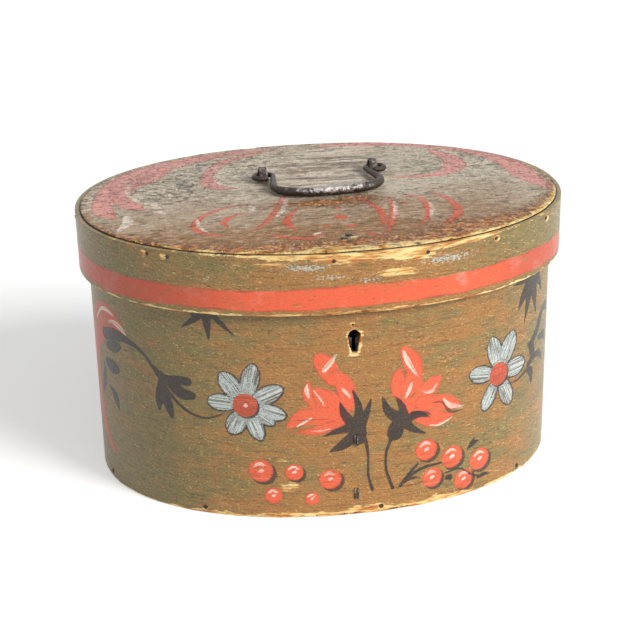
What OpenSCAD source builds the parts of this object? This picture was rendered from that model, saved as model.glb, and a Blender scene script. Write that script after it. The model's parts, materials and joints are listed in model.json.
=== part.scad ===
// Oval bentwood box with a hinged slip-over lid, a lock and a forged bail handle.
// The origin is the middle of the underside of the bottom board. +Z is up and the front faces -Y.
// Both bent bands follow one oval. A depth is measured inwards from the outer face of the lid rim.

/* [Oval] */
// Length of the lid over its rim
lid_l = 380; // [340:5:420]
// Width of the lid over its rim
lid_w = 280; // [250:5:310]
// Fullness of the oval, where 2 is a true ellipse
oval_power = 2.1; // [2:0.05:2.4]

/* [Body] */
// Height of the body band
body_h = 204.7; // [185:0.1:230]
// Thickness of the body band
wall_t = 4; // [3:0.1:5]
// Thickness of the bottom board
bottom_t = 10; // [8:0.5:14]
// Gap between the body and the rim that slips over it
slip_gap = 3.5; // [3.2:0.1:5]

/* [Lid] */
// Height of the lid rim
rim_h = 45.5; // [40:0.5:55]
// Thickness of the lid rim
rim_t = 4; // [3:0.1:5]
// Thickness of the lid board
board_t = 10; // [8:0.5:12]
// How far the lid board stands above the rim
board_proud = 1.5; // [1:0.1:2.5]
// Worn bevel along the top edge of the lid board
board_bevel = 1.3; // [0.5:0.1:2]
// Gap between the lid board and the top of the body
lid_seat = 0.3; // [0.2:0.05:0.6]

/* [Laps and lacing] */
// Half of the angle over which the ends of a band lie on each other
lap_half = 10; // [7.5:2.5:12.5]
// Angle over which the inner layer bends back out to the oval
lap_ease = 7.5; // [5:2.5:10]
// Thickness of a band at its skived end
lap_end_t = 1.2; // [0.8:0.1:1.6]
// Gap between the layers of a lap
lap_gap = 0.15; // [0.1:0.05:0.3]
// Angle from the middle of the lap to each row of lacing
lace_angle = 6.25; // [3.75:2.5:6.25]
// Width of the split root
lace_w = 3.4; // [2.5:0.1:4]
// Thickness of the split root
lace_t = 1; // [0.7:0.1:1.2]
// Height of one stitch
lace_pitch = 9; // [7:0.5:14]

/* [Pegs and nails] */
// Radius of the pegs in the bottom board
bottom_peg_r = 1.8; // [1.2:0.1:2.4]
// Length of the pegs in the bottom board
bottom_peg_len = 17; // [12:1:22]
// Radius of the pegs in the lid rim
rim_peg_r = 1.4; // [1:0.1:2]
// Length of the pegs in the lid rim
rim_peg_len = 15; // [10:1:20]
// How far a peg stands out of the wood
peg_proud = 0.4; // [0.2:0.1:0.8]

/* [Handle] */
// Middle of the handle, to the right of the middle of the lid
handle_x = 5; // [-5:1:15]
// Middle of the swing axis, behind the middle of the lid
handle_y = 43; // [20:1:60]
// Turn of the whole handle seen from above
handle_skew = 4.5; // [0:0.5:8]
// Half of the distance between the two eyes
eye_half_span = 45.3; // [38:0.5:52]
// Half of the width of an eye, to the middle of the wire
eye_half_w = 8; // [7:0.5:10]
// Depth of an eye, to the middle of the wire
eye_depth = 11; // [10:0.5:13]
// Radius of the wire at the eyes
eye_wire_r = 2.2; // [1.6:0.1:2.5]
// Radius of the grip at its middle
grip_r = 4; // [3.2:0.1:4.4]
// Distance from the swing axis to the middle of the grip
grip_reach = 54.5; // [45:0.5:62]
// How far the grip's corners lie behind its middle
grip_bow = 8; // [4:0.5:12]
// Radius of the bends at the ends of the grip
grip_bend_r = 18; // [10:0.5:20]

/* [Handle staples] */
// Width of the strap at the top
staple_top_w = 5.4; // [4:0.2:7]
// Width of the strap on the lid
staple_foot_w = 8; // [6:0.2:10]
// Width of the legs in the board
staple_leg_w = 5; // [3.6:0.2:6]
// Thickness of the strap
staple_t = 1.8; // [1.2:0.1:2.4]
// Clearance round the handle's wire under the strap
staple_play = 0.5; // [0.3:0.1:1]
// Length of each foot clenched below the board
staple_clench = 9; // [5:0.5:14]

/* [Hinges] */
// Distance of each hinge from the middle of the back
hinge_x = 66; // [62:1:76]
// Radius of the staple's rod, which is the hinge pin
hinge_pin_r = 1.8; // [1.4:0.1:2.2]
// Running clearance round the hinge pin
hinge_play = 0.08; // [0.04:0.01:0.1]
// Thickness of the hinge strap
hinge_strap_t = 1.6; // [1.2:0.1:2]
// Width of the hinge strap
hinge_strap_w = 9; // [7:0.5:12]
// Height of the strap above the lower edge of the rim
hinge_strap_h = 32; // [24:1:36]
// Side clearance between the rolled eye and the staple's legs
hinge_side_play = 0.8; // [0.4:0.1:1.5]
// Length of each leg clenched inside the wall
hinge_clench = 8; // [5:0.5:12]

/* [Lock] */
// Middle of the lock, to the right of the middle of the box
lock_x = 5.4; // [-5:0.2:15]
// Height of the key's axis
key_z = 147.5; // [140:0.5:151]
// Radius of the round top of the worn keyhole in the wall
keyhole_r = 4.3; // [3.6:0.1:5]
// Width of the lower end of the keyhole in the wall
keyhole_foot_w = 3; // [2.6:0.1:4]
// Depth of the keyhole below the key's axis
keyhole_drop = 13.2; // [12:0.1:15]
// How far the lock plate stands out beyond the case at each side
plate_border = 8; // [7:0.5:12]
// Height of the lock plate
plate_h = 46; // [44:1:54]
// Thickness of the lock plate
plate_t = 1.5; // [1:0.1:2]
// Width of the lock case
case_w = 60; // [58:1:64]
// Height of the lock case
case_h = 37; // [36:0.5:40]
// Depth of the lock case from the wall
case_d = 26; // [25.5:0.5:30]
// Thickness of the case's sheet iron
case_t = 1.4; // [1:0.1:2]
// Travel of the bolt
bolt_travel = 9; // [7:0.5:9.5]
// Height of the bolt
bolt_h = 6; // [5:0.5:7]
// Thickness of the bolt
bolt_t = 3.2; // [2.6:0.1:3.6]
// Height of the bolt's lower edge above the key's axis
bolt_rise = 9.5; // [9:0.5:10]
// Thickness of the catch
catch_t = 3; // [2:0.1:3.4]
// Width of the catch
catch_w = 8; // [7.6:0.1:9]
// Distance from the wall to the middle of the catch
catch_in = 19.5; // [19:0.1:20]
// Radius of the pin on which the key turns
key_pin_r = 2; // [1.4:0.1:2.4]

/* [Fits] */
// Gap round a board inside its bent band
board_fit = 0.12; // [0.05:0.01:0.3]
// Gap round pegs, nails and legs in their holes
hole_fit = 0.05; // [0.02:0.01:0.1]
// Gap between parts that lie on each other
seat = 0.1; // [0.05:0.01:0.2]

/* [Hidden] */
$fn = 48;

// One side of the oval spans this angle
side_angle = 2.5;
// Reach of a cut beyond the faces that it goes through
over = 1;

// Reach of a cut that goes through a whole part
through = 20;

// Depths of the body band's faces, and what a lap adds to a band's thickness
body_depth = rim_t + slip_gap;
wall_inner = body_depth + wall_t;
lap_total = lap_end_t + lap_gap;

// Heights
board_z = body_h + lid_seat;
lid_top = board_z + board_t;
rim_top = lid_top - board_proud;
rim_low = rim_top - rim_h;

// Where the pegs stand round the oval, in degrees from +X
bottom_peg_angles = [-164, -124.5, -83, -40, 2, 46, 122, 160];
rim_peg_angles = [-178, -136, -130, -92.5, -73, -54.5, -33, -3, 27, 55, 124, 153];

// Hinges
hinge_eye_r = hinge_pin_r + hinge_play + hinge_strap_t;
hinge_z = rim_low - hinge_eye_r - 0.3;
// How far the clenched legs stand off the slanted wall inside
hinge_spring_back = 1.2;
hinge_nail_r = 1.1;
hinge_nail_head_r = 2.6;
hinge_nail_head_t = 1;
// The head's gap to the strap
hinge_nail_lift = 0.05;
hinge_nail_rises = [8, 24];

// Handle
handle_z = lid_top + grip_r + 0.3;
// Radius of the bail where the arms meet the grip
arm_r = 3.4;
// Half of the gap between a staple's legs, and the middle of its round top
staple_gap_half = eye_wire_r + staple_play + 0.6;
arch_z = handle_z + 1.2;

// Lock
wall_inner_y = -(lid_w / 2 - wall_inner);
plate_outer = wall_inner + seat;
plate_inner = plate_outer + plate_t;
plate_low = key_z - 21;
plate_w = case_w + 2 * plate_border;
case_low = key_z - 15.5;
case_top = case_low + case_h;
bolt_z = key_z + bolt_rise;
bolt_in = 6;
key_pin_in = 12;
spring_t = 0.8;
spring_w = 2.6;
catch_eye_w = catch_w - 2.2;
catch_eye_low = bolt_z - 2;
catch_eye_top = bolt_z + bolt_h + 2;
catch_low = catch_eye_low - 3;
catch_prong_w = 2.2;
catch_clench = 7;
clench_t = 1.2;
tack_r = 0.8;
tack_head_r = 2.2;
tack_head_t = 0.9;
tack_len = 3;
tack_rises = [6, 40];
lug_rises = [7, 30];
lug_h = 4;

// Cramps on the front, below the keyhole
cramp_heights = [67, 22];
cramp_drop = 8.5;
cramp_prong_w = 1.3;
cramp_spread = 2.2;
cramp_t = 1;

iron = [0.25, 0.23, 0.21];
root = [0.62, 0.47, 0.3];
bare_wood = [0.72, 0.56, 0.36];
olive = [0.52, 0.46, 0.3];
worn_olive = [0.5, 0.42, 0.28];
peg_wood = [0.42, 0.32, 0.2];

function signed_power(v, p) = sign(v) * pow(abs(v), p);

// Gradient of the oval at angle t, and the length of any pair
function oval_gradient(t) =
    let (x = signed_power(cos(t), 2 / oval_power), y = signed_power(sin(t), 2 / oval_power))
    [signed_power(x, oval_power - 1) * 2 / lid_l, signed_power(y, oval_power - 1) * 2 / lid_w];

// Point at angle t, moved in by a depth along the normal of the oval
function oval_point(t, depth) =
    let (g = oval_gradient(t))
    [lid_l / 2 * signed_power(cos(t), 2 / oval_power) - depth * g[0] / norm(g),
     lid_w / 2 * signed_power(sin(t), 2 / oval_power) - depth * g[1] / norm(g)];

// Direction in which the oval faces at angle t
function facing(t) = let (g = oval_gradient(t)) atan2(g[1], g[0]);

// Angle on the back half at which a depth below the oval has this x, close enough near the middle
function back_angle(x, depth = 0) =
    acos(signed_power(2 * x / lid_l / (1 - 2 * depth * lid_w / lid_l / lid_l), oval_power / 2));

function smooth(u) = u * u * (3 - 2 * u);

// How far round its lap a band has come, from 0 to 1
function lap_share(t) = (t - 90 + lap_half) / (2 * lap_half);

// Thickness of the outer layer of a lap, which thins towards the end of the band
function outer_layer(s, thick) = thick - (thick - lap_end_t) * s;

// Depth of a band's outer face below its oval, for t from 90 - lap_half on
function band_sink(t, thick) =
    t <= 90 + lap_half ? outer_layer(lap_share(t), thick) + lap_gap :
    t < 90 + lap_half + lap_ease ?
        lap_total * (1 - smooth((t - 90 - lap_half) / lap_ease)) : 0;

// Thickness of a band, skived at both ends
function band_thickness(t, thick) =
    t < 90 + lap_half ? lap_end_t + (thick - lap_end_t) * lap_share(t) :
    t > 450 - lap_half ? outer_layer(lap_share(t - 360), thick) : thick;

// Depth of the innermost face of a band at t from 0 to 360, its lap included
function inner_face(t, thick) =
    t < 90 - lap_half - 0.01 ? thick :
    t <= 90 + lap_half ? thick + lap_total :
    t < 90 + lap_half + lap_ease ?
        thick + lap_total * (1 - smooth((t - 90 - lap_half) / lap_ease)) : thick;

// A band bent round the oval, whose ends lie on each other at the back
module bent_band(depth, thick, height) {
    turn = 360 + 2 * lap_half;
    sides = ceil(turn / side_angle);
    angles = [for (i = [0:sides]) 90 - lap_half + i * turn / sides];
    outer = [for (t = angles) oval_point(t, depth + band_sink(t, thick))];
    inner = [for (i = [sides:-1:0])
        let (t = angles[i])
        oval_point(t, depth + band_sink(t, thick) + band_thickness(t, thick))];
    linear_extrude(height) polygon(concat(outer, inner));
}

// A board cut to stand inside a band, notched for its lap
module fitted_board(depth, thick, height) {
    linear_extrude(height) polygon([for (t = [0:side_angle:360 - side_angle])
        oval_point(t, depth + inner_face(t, thick) + board_fit)]);
}

// Everything within a depth of the oval
module within(depth, height) {
    linear_extrude(height) polygon([for (t = [0:side_angle:360 - side_angle]) oval_point(t, depth)]);
}

// Puts its children on the wall at angle t: +X faces out, +Y runs round the oval
module on_wall(t, depth, z) {
    p = oval_point(t, depth);
    translate([p[0], p[1], z]) rotate([0, 0, facing(t)]) children();
}

// A round peg driven in through a band
module peg(r, len) {
    rotate([0, -90, 0]) translate([0, 0, -peg_proud]) cylinder(r = r, h = len + peg_proud);
}

module bottom_peg_set(fit) {
    for (t = bottom_peg_angles)
        on_wall(t, body_depth, bottom_t / 2) peg(bottom_peg_r + fit, bottom_peg_len + fit);
}

module rim_peg_set(fit) {
    for (t = rim_peg_angles)
        on_wall(t, 0, board_z + board_t * 0.4) peg(rim_peg_r + fit, rim_peg_len + fit);
}

// One strip of root that runs out and in through a row of slits
module root_strip(low, stitches, wall) {
    reach = seat + lace_t;
    for (i = [0:stitches - 1]) {
        outside = i % 2 == 0;
        x = outside ? seat : -wall - reach;
        translate([x, -lace_w / 2, low + i * lace_pitch])
            cube([lace_t, lace_w, lace_pitch + lace_t]);
    }
    for (i = [0:stitches])
        translate([-wall - reach, -lace_w / 2, low + i * lace_pitch])
            cube([wall + 2 * reach, lace_w, lace_t]);
}

// The slits for such a strip
module root_slits(low, stitches, wall) {
    for (i = [0:stitches])
        translate([-wall - over, -lace_w / 2 - hole_fit, low + i * lace_pitch - hole_fit])
            cube([wall + 2 * over, lace_w + 2 * hole_fit, lace_t + 2 * hole_fit]);
}

body_lace_low = bottom_t + 8;
body_stitches = 2 * floor((rim_low - 16 - body_lace_low) / lace_pitch / 2) + 1;
rim_lace_low = rim_low + 6;
rim_stitches = 2 * floor((board_z - 4 - rim_lace_low) / lace_pitch / 2) + 1;

module on_laces(depth) {
    for (side = [-1, 1]) on_wall(90 + side * lace_angle, depth, 0) children();
}

// Keyhole worn into the wall: a round top that narrows downwards
module wall_keyhole() {
    translate([lock_x, wall_inner_y + over, key_z]) rotate([90, 0, 0])
        linear_extrude(wall_t + 2 * over) {
            circle(keyhole_r);
            polygon([[-keyhole_r * 0.96, 0], [-keyhole_foot_w / 2, -keyhole_drop],
                     [keyhole_foot_w / 2, -keyhole_drop], [keyhole_r * 0.96, 0]]);
        }
}

// A small nail hole above the keyhole
module old_nail_hole() {
    translate([lock_x - 1, wall_inner_y + over, key_z + 8.6]) rotate([90, 0, 0])
        cylinder(r = 0.9, h = wall_t + 2 * over);
}

module front_wall_at(x, depth, z) {
    on_wall(-back_angle(x, depth), depth, z) children();
}

// One cramp: a bridge inside, two prongs through the wall and bent down outside
module cramp(fit) {
    for (side = [-1, 1]) translate([0, side * cramp_spread / 2 - cramp_prong_w / 2 - fit, 0]) {
        translate([-wall_t - over - fit, 0, -cramp_t / 2 - fit])
            cube([wall_t + over + seat + cramp_t + fit, cramp_prong_w + 2 * fit, cramp_t + 2 * fit]);
        if (fit == 0) translate([seat, 0, -cramp_drop])
            cube([cramp_t, cramp_prong_w, cramp_drop + cramp_t / 2]);
    }
    if (fit == 0) translate([-wall_t - seat - cramp_t, -cramp_spread / 2 - cramp_prong_w / 2, -cramp_t / 2])
        cube([cramp_t, cramp_spread + cramp_prong_w, cramp_t]);
}

module cramp_set(fit) {
    for (z = cramp_heights) front_wall_at(lock_x + 0.4, body_depth, z) cramp(fit);
}

// The four tacks of the lock plate, driven from inside into the wall
module tack_set(fit) {
    for (side = [-1, 1], rise = tack_rises)
        front_wall_at(lock_x + side * (plate_w / 2 - 4), plate_inner, plate_low + rise) {
            inside = fit == 0 ? seat : over;
            translate([-inside, 0, 0]) rotate([0, 90, 0])
                cylinder(r = tack_r + fit, h = inside + plate_t + seat + tack_len + fit);
            if (fit == 0) translate([-seat - tack_head_t, 0, 0]) rotate([0, 90, 0])
                cylinder(r = tack_head_r, h = tack_head_t);
        }
}

hinge_face_y = oval_point(back_angle(hinge_x), 0)[1];
hinge_strap_y = hinge_face_y + seat + hinge_strap_t / 2;
hinge_y = hinge_strap_y + hinge_eye_r - hinge_strap_t / 2;
hinge_leg_x = hinge_strap_w / 2 + hinge_side_play + hinge_pin_r;

// The rod of one hinge staple: a pin along X and two legs through the wall
module hinge_rod(r, leg_end_y) {
    rotate([0, 90, 0]) translate([0, 0, -hinge_leg_x]) cylinder(r = r, h = 2 * hinge_leg_x);
    for (side = [-1, 1]) translate([side * hinge_leg_x, 0, 0]) {
        sphere(r = r);
        rotate([90, 0, 0]) cylinder(r = r, h = hinge_y - leg_end_y);
    }
}

// Where the wall's inner face lies at this x on the back
function back_inner_y(x) = oval_point(back_angle(x, wall_inner), wall_inner)[1];

module hinge_staple(side) {
    end_y = back_inner_y(hinge_x + hinge_leg_x) - seat - hinge_pin_r - hinge_spring_back;
    color(iron) translate([side * hinge_x, hinge_y, hinge_z]) {
        hinge_rod(hinge_pin_r, end_y);
        for (leg = [-1, 1]) translate([leg * hinge_leg_x, end_y - hinge_y, 0]) {
            sphere(r = hinge_pin_r);
            translate([0, 0, -hinge_clench]) cylinder(r = hinge_pin_r, h = hinge_clench);
        }
    }
}

module hinge_leg_holes() {
    for (side = [-1, 1], leg = [-1, 1])
        translate([side * hinge_x + leg * hinge_leg_x, hinge_y, hinge_z]) rotate([90, 0, 0])
            cylinder(r = hinge_pin_r + hole_fit, h = wall_inner + through);
}

module hinge_nail_set(fit) {
    for (side = [-1, 1], rise = hinge_nail_rises)
        on_wall(side > 0 ? back_angle(hinge_x) : 180 - back_angle(hinge_x), 0, rim_low + rise) {
            head_x = seat + hinge_strap_t + hinge_nail_lift;
            rotate([0, -90, 0]) translate([0, 0, -head_x])
                cylinder(r = hinge_nail_r + fit, h = head_x + rim_t + (fit == 0 ? 0 : over));
            if (fit == 0) translate([head_x, 0, 0]) rotate([0, 90, 0])
                cylinder(r = hinge_nail_head_r, h = hinge_nail_head_t);
        }
}

// Strap on the rim, turned to the rim's face, with an eye rolled round the staple
module hinge_strap(side) {
    t = side > 0 ? back_angle(hinge_x) : 180 - back_angle(hinge_x);
    color(iron) difference() {
        union() {
            on_wall(t, 0, hinge_z) translate([seat, -hinge_strap_w / 2, 0])
                cube([hinge_strap_t, hinge_strap_w, rim_low - hinge_z + hinge_strap_h]);
            translate([side * hinge_x - hinge_strap_w / 2, hinge_y, hinge_z]) rotate([0, 90, 0])
                cylinder(r = hinge_eye_r, h = hinge_strap_w);
        }
        translate([side * hinge_x - hinge_strap_w, hinge_y, hinge_z]) rotate([0, 90, 0])
            cylinder(r = hinge_pin_r + hinge_play, h = 2 * hinge_strap_w);
        hinge_nail_set(hole_fit);
    }
}

module in_lock() {
    translate([lock_x, wall_inner_y, 0]) children();
}

// Lugs at the front edges of the case, which pass through the plate
module lock_lugs(fit) {
    for (side = [-1, 1], rise = lug_rises)
        in_lock() translate([side * (case_w / 2 - case_t / 2) - case_t / 2 - fit, -over,
                             case_low + rise - fit])
            cube([case_t + 2 * fit, through / 2, lug_h + 2 * fit]);
}

module lock_plate() {
    color(iron) difference() {
        intersection() {
            difference() {
                within(plate_outer, body_h);
                translate([0, 0, -over]) within(plate_inner, body_h + 2 * over);
            }
            in_lock() translate([-plate_w / 2, -over, plate_low]) cube([plate_w, through / 2, plate_h]);
        }
        in_lock() translate([0, through / 2, key_z]) rotate([90, 0, 0]) linear_extrude(through) {
            circle(keyhole_r - 0.8);
            translate([-1.4, -keyhole_drop]) square([2.8, keyhole_drop]);
        }
        lock_lugs(hole_fit);
        tack_set(hole_fit);
    }
}

module lock_case() {
    slot_w = catch_t + 2;
    slot_d = catch_w + 2;
    color(iron) difference() {
        union() {
            intersection() {
                in_lock() difference() {
                    translate([-case_w / 2, 0, case_low]) cube([case_w, case_d, case_h]);
                    translate([-case_w / 2 + case_t, -over, case_low + case_t])
                        cube([case_w - 2 * case_t, case_d - case_t + over, case_h - 2 * case_t]);
                }
                within(plate_inner + seat, body_h);
            }
            intersection() {
                lock_lugs(0);
                within(plate_outer, body_h);
            }
        }
        in_lock() translate([-slot_w / 2, catch_in - slot_d / 2, case_top - case_t - over])
            cube([slot_w, slot_d, case_t + 2 * over]);
        in_lock() translate([0, case_d + over, key_z]) rotate([90, 0, 0])
            cylinder(r = key_pin_r + hole_fit, h = case_t + 2 * over);
    }
}

// Hook-shaped bolt: a bar behind the plate, an arm inwards and a finger through the catch
module lock_bolt() {
    back = -case_w / 2 + case_t + 2.5;
    bar_end = case_w / 2 - case_t - bolt_travel - 1.5;
    arm_w = 6;
    finger = -catch_t / 2 - 1.5;
    notch_w = 8;
    notch_h = 3;
    color(iron) in_lock() translate([0, 0, bolt_z]) difference() {
        linear_extrude(bolt_h) polygon([
            [back, bolt_in], [bar_end, bolt_in], [bar_end, bolt_in + bolt_t],
            [back + arm_w, bolt_in + bolt_t], [back + arm_w, catch_in - bolt_t / 2],
            [finger, catch_in - bolt_t / 2], [finger, catch_in + bolt_t / 2],
            [back, catch_in + bolt_t / 2]]);
        translate([-notch_w / 2, bolt_in - over, -over]) cube([notch_w, bolt_t + 2 * over, notch_h + over]);
    }
}

// Bowed leaf between the bolt and the top of the case
module lock_spring() {
    half_span = 13;
    rise = case_top - case_t - bolt_z - bolt_h - spring_t - 2 * seat;
    bow_r = (half_span * half_span + rise * rise) / (2 * rise);
    half_turn = asin(half_span / bow_r);
    color(iron) in_lock()
        translate([-4, bolt_in + bolt_t / 2 + spring_w / 2, bolt_z + bolt_h + seat + bow_r])
            rotate([90, 0, 0]) rotate([0, 0, -90 - half_turn])
                rotate_extrude(angle = 2 * half_turn, $fn = 96)
                    translate([bow_r - spring_t, 0]) square([spring_t, spring_w]);
}

// Pin riveted in the back of the case
module lock_key_pin() {
    head_t = 0.8;
    color(iron) in_lock() translate([0, case_d + head_t, key_z]) rotate([90, 0, 0]) {
        cylinder(r = key_pin_r, h = case_d + head_t - key_pin_in);
        cylinder(r = key_pin_r + 1, h = head_t - seat);
    }
}

// Round ward on the plate, open below for the key's bit
module lock_ward() {
    ward_r = 8;
    ward_t = 1;
    ward_end = 5.2;
    mouth = 60;
    color(iron) intersection() {
        in_lock() translate([0, ward_end, key_z]) rotate([90, 0, 0]) rotate([0, 0, mouth / 2 - 90])
            rotate_extrude(angle = 360 - mouth) translate([ward_r, 0]) square([ward_t, ward_end]);
        within(plate_inner + seat, body_h);
    }
}

module lock_nails() { color(iron) tack_set(0); }

module body_band() {
    color(olive) difference() {
        bent_band(body_depth, wall_t, body_h);
        bottom_peg_set(hole_fit);
        on_laces(body_depth) root_slits(body_lace_low, body_stitches, wall_t + lap_total);
        wall_keyhole();
        old_nail_hole();
        cramp_set(hole_fit);
        tack_set(hole_fit);
        hinge_leg_holes();
    }
}

module bottom_board() {
    color(bare_wood) difference() {
        fitted_board(body_depth, wall_t, bottom_t);
        bottom_peg_set(hole_fit);
    }
}

module bottom_pegs() { color(peg_wood) bottom_peg_set(0); }

module body_lacing() {
    color(root) on_laces(body_depth) root_strip(body_lace_low, body_stitches, wall_t + lap_total);
}

module front_cramps() { color(iron) cramp_set(0); }

module lid_rim() {
    color(olive) difference() {
        translate([0, 0, rim_low]) bent_band(0, rim_t, rim_h);
        rim_peg_set(hole_fit);
        on_laces(0) root_slits(rim_lace_low, rim_stitches, rim_t + lap_total);
        hinge_nail_set(hole_fit);
    }
}

module rim_pegs() { color(peg_wood) rim_peg_set(0); }

module rim_lacing() {
    color(root) on_laces(0) root_strip(rim_lace_low, rim_stitches, rim_t + lap_total);
}

module on_handle() {
    translate([handle_x, handle_y, 0]) rotate([0, 0, handle_skew]) children();
}

// The arch of one strap staple, from the board up
module staple_arch() {
    outer = staple_gap_half + staple_t;
    rotate([90, 0, 90]) linear_extrude(staple_foot_w, center = true) difference() {
        union() {
            translate([0, arch_z]) circle(outer);
            translate([-outer, lid_top]) square([2 * outer, arch_z - lid_top]);
        }
        translate([0, arch_z]) circle(staple_gap_half);
        translate([-staple_gap_half, lid_top - over])
            square([2 * staple_gap_half, arch_z - lid_top + over]);
    }
}

// The legs of a staple, through the board and up into the arch
module staple_legs(fit, drop) {
    for (side = [-1, 1])
        translate([-staple_leg_w / 2 - fit,
                   side * (staple_gap_half + staple_t / 2) - staple_t / 2 - fit, board_z - drop])
            cube([staple_leg_w + 2 * fit, staple_t + 2 * fit, board_t + drop + over]);
}

module handle_staple(side) {
    arch_top = arch_z + staple_gap_half + staple_t;
    color(iron) on_handle() translate([side * eye_half_span, 0, 0]) {
        intersection() {
            staple_arch();
            rotate([90, 0, 0]) linear_extrude(through, center = true) polygon([
                [-staple_foot_w / 2, lid_top], [staple_foot_w / 2, lid_top],
                [staple_top_w / 2, arch_top], [-staple_top_w / 2, arch_top]]);
        }
        staple_legs(0, seat + clench_t);
        for (end = [-1, 1])
            translate([-staple_leg_w / 2,
                       end * (staple_gap_half + staple_t / 2 + staple_clench / 2) - staple_clench / 2,
                       board_z - seat - clench_t])
                cube([staple_leg_w, staple_clench, clench_t]);
    }
}

// The catch's two prongs, which pass through the board and are bent over on top
module catch_prongs(fit) {
    for (end = [-1, 1]) in_lock()
        translate([-catch_t / 2 - fit,
                   catch_in + end * (catch_w - catch_prong_w) / 2 - catch_prong_w / 2 - fit,
                   board_z - over]) {
            cube([catch_t + 2 * fit, catch_prong_w + 2 * fit, board_t + seat + clench_t + over]);
            if (fit == 0) translate([end > 0 ? 0 : catch_t - catch_clench, 0, over + board_t + seat])
                cube([catch_clench, catch_prong_w, clench_t]);
        }
}

module lid_catch() {
    color(iron) {
        in_lock() difference() {
            translate([-catch_t / 2, catch_in - catch_w / 2, catch_low])
                cube([catch_t, catch_w, board_z - seat - catch_low]);
            translate([-catch_t, catch_in - catch_eye_w / 2, catch_eye_low])
                cube([2 * catch_t, catch_eye_w, catch_eye_top - catch_eye_low]);
        }
        catch_prongs(0);
    }
}

module lid_board() {
    edge = rim_t + board_fit;
    color(worn_olive) difference() {
        intersection() {
            translate([0, 0, board_z]) fitted_board(0, rim_t, board_t);
            hull() {
                translate([0, 0, board_z - over]) within(edge - board_bevel, board_t - board_bevel + over);
                translate([0, 0, lid_top - 0.01]) within(edge + board_bevel, 0.01);
            }
        }
        rim_peg_set(hole_fit);
        on_handle() for (side = [-1, 1]) translate([side * eye_half_span, 0, 0])
            staple_legs(hole_fit, over);
        catch_prongs(hole_fit);
    }
}

// Half of the bail's line: out from the middle of the grip, along the arm and round the eye
eye_bend_r = eye_depth / 2;
corner_u = eye_half_span - eye_half_w + 8;
bail_corners = [
    [0, grip_reach, 0],
    [corner_u * 0.42, grip_reach - 0.4, 60],
    [corner_u, grip_reach - grip_bow, grip_bend_r],
    [eye_half_span - eye_half_w, 0, eye_bend_r],
    [eye_half_span + eye_half_w, 0, eye_bend_r],
    [eye_half_span + eye_half_w, eye_depth, eye_bend_r],
    [eye_half_span - eye_half_w + eye_bend_r, eye_depth, 0]
];

function unit(v) = v / norm(v);

// Points along a corner that is rounded to a radius
function rounded_corner(before, corner, after, r, steps) =
    let (a = unit(before - corner), b = unit(after - corner),
         half = acos(a * b) / 2,
         centre = corner + unit(a + b) * r / sin(half),
         start = corner + a * r / tan(half) - centre,
         finish = corner + b * r / tan(half) - centre,
         from = atan2(start[1], start[0]),
         sweep = (atan2(finish[1], finish[0]) - from + 540) % 360 - 180)
    [for (i = [0:steps]) centre + r * [cos(from + sweep * i / steps), sin(from + sweep * i / steps)]];

function corner_point(i) = [bail_corners[i][0], bail_corners[i][1]];

half_bail = concat([corner_point(0)],
    [for (i = [1:len(bail_corners) - 2], p = rounded_corner(corner_point(i - 1), corner_point(i),
        corner_point(i + 1), bail_corners[i][2], bail_corners[i][2] > 20 ? 4 : 9)) p],
    [corner_point(len(bail_corners) - 1)]);
bail_line = concat([for (i = [len(half_bail) - 1:-1:1]) [-half_bail[i][0], half_bail[i][1]]], half_bail);

// Radius of the bail: full at the grip, thinner on the arms and thinnest at the eyes
function bail_radius(p) =
    p[1] < eye_depth + 0.01 ? eye_wire_r :
    p[1] < grip_reach - grip_bow ?
        eye_wire_r + (arm_r - eye_wire_r) * (p[1] - eye_depth) / (grip_reach - grip_bow - eye_depth) :
        arm_r + (grip_r - arm_r) * (1 - pow(min(1, abs(p[0]) / corner_u), 1.5));

// A round bar swept along a flat line
module swept_bar(line, sides) {
    last = len(line) - 1;
    rings = [for (i = [0:last])
        let (d = unit(line[min(i + 1, last)] - line[max(i - 1, 0)]), r = bail_radius(line[i]))
        for (k = [0:sides - 1])
            let (c = r * cos(k * 360 / sides), s = r * sin(k * 360 / sides))
            [line[i][0] - c * d[1], line[i][1] + c * d[0], s]];
    faces = concat(
        [[for (k = [0:sides - 1]) k]],
        [for (i = [0:last - 1], k = [0:sides - 1])
            let (a = i * sides + k, b = i * sides + (k + 1) % sides)
            each [[a, a + sides, b + sides], [a, b + sides, b]]],
        [[for (k = [sides - 1:-1:0]) last * sides + k]]);
    polyhedron(rings, faces);
}

module handle() {
    color(iron) on_handle() translate([0, 0, handle_z]) {
        mirror([0, 1, 0]) swept_bar(bail_line, 12);
        for (side = [-1, 1])
            translate([side * eye_half_span - eye_half_w + eye_bend_r, 0, 0]) rotate([0, 90, 0])
                cylinder(r = eye_wire_r + 0.05, h = 2 * (eye_half_w - eye_bend_r));
    }
}

module hinge_staple_left() { hinge_staple(-1); }
module hinge_staple_right() { hinge_staple(1); }
module hinge_strap_left() { hinge_strap(-1); }
module hinge_strap_right() { hinge_strap(1); }
module hinge_nails() { color(iron) hinge_nail_set(0); }
module handle_staple_left() { handle_staple(-1); }
module handle_staple_right() { handle_staple(1); }

body_band();
bottom_board();
bottom_pegs();
body_lacing();
front_cramps();
hinge_staple_left();
hinge_staple_right();
lock_plate();
lock_case();
lock_bolt();
lock_spring();
lock_key_pin();
lock_ward();
lock_nails();
lid_board();
lid_rim();
rim_pegs();
rim_lacing();
handle_staple_left();
handle_staple_right();
lid_catch();
hinge_strap_left();
hinge_strap_right();
hinge_nails();
handle();
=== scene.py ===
"""The looks of an oval bentwood box: painted bands and lid, forged iron, root lacing and the studio.

Lengths inside the functions are in millimetres. On a band, s runs along its outer face from the middle
of the front, to the right, and z runs up. On the lid, x and y are those of the frame.
"""
import json
import math
from types import SimpleNamespace

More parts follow.
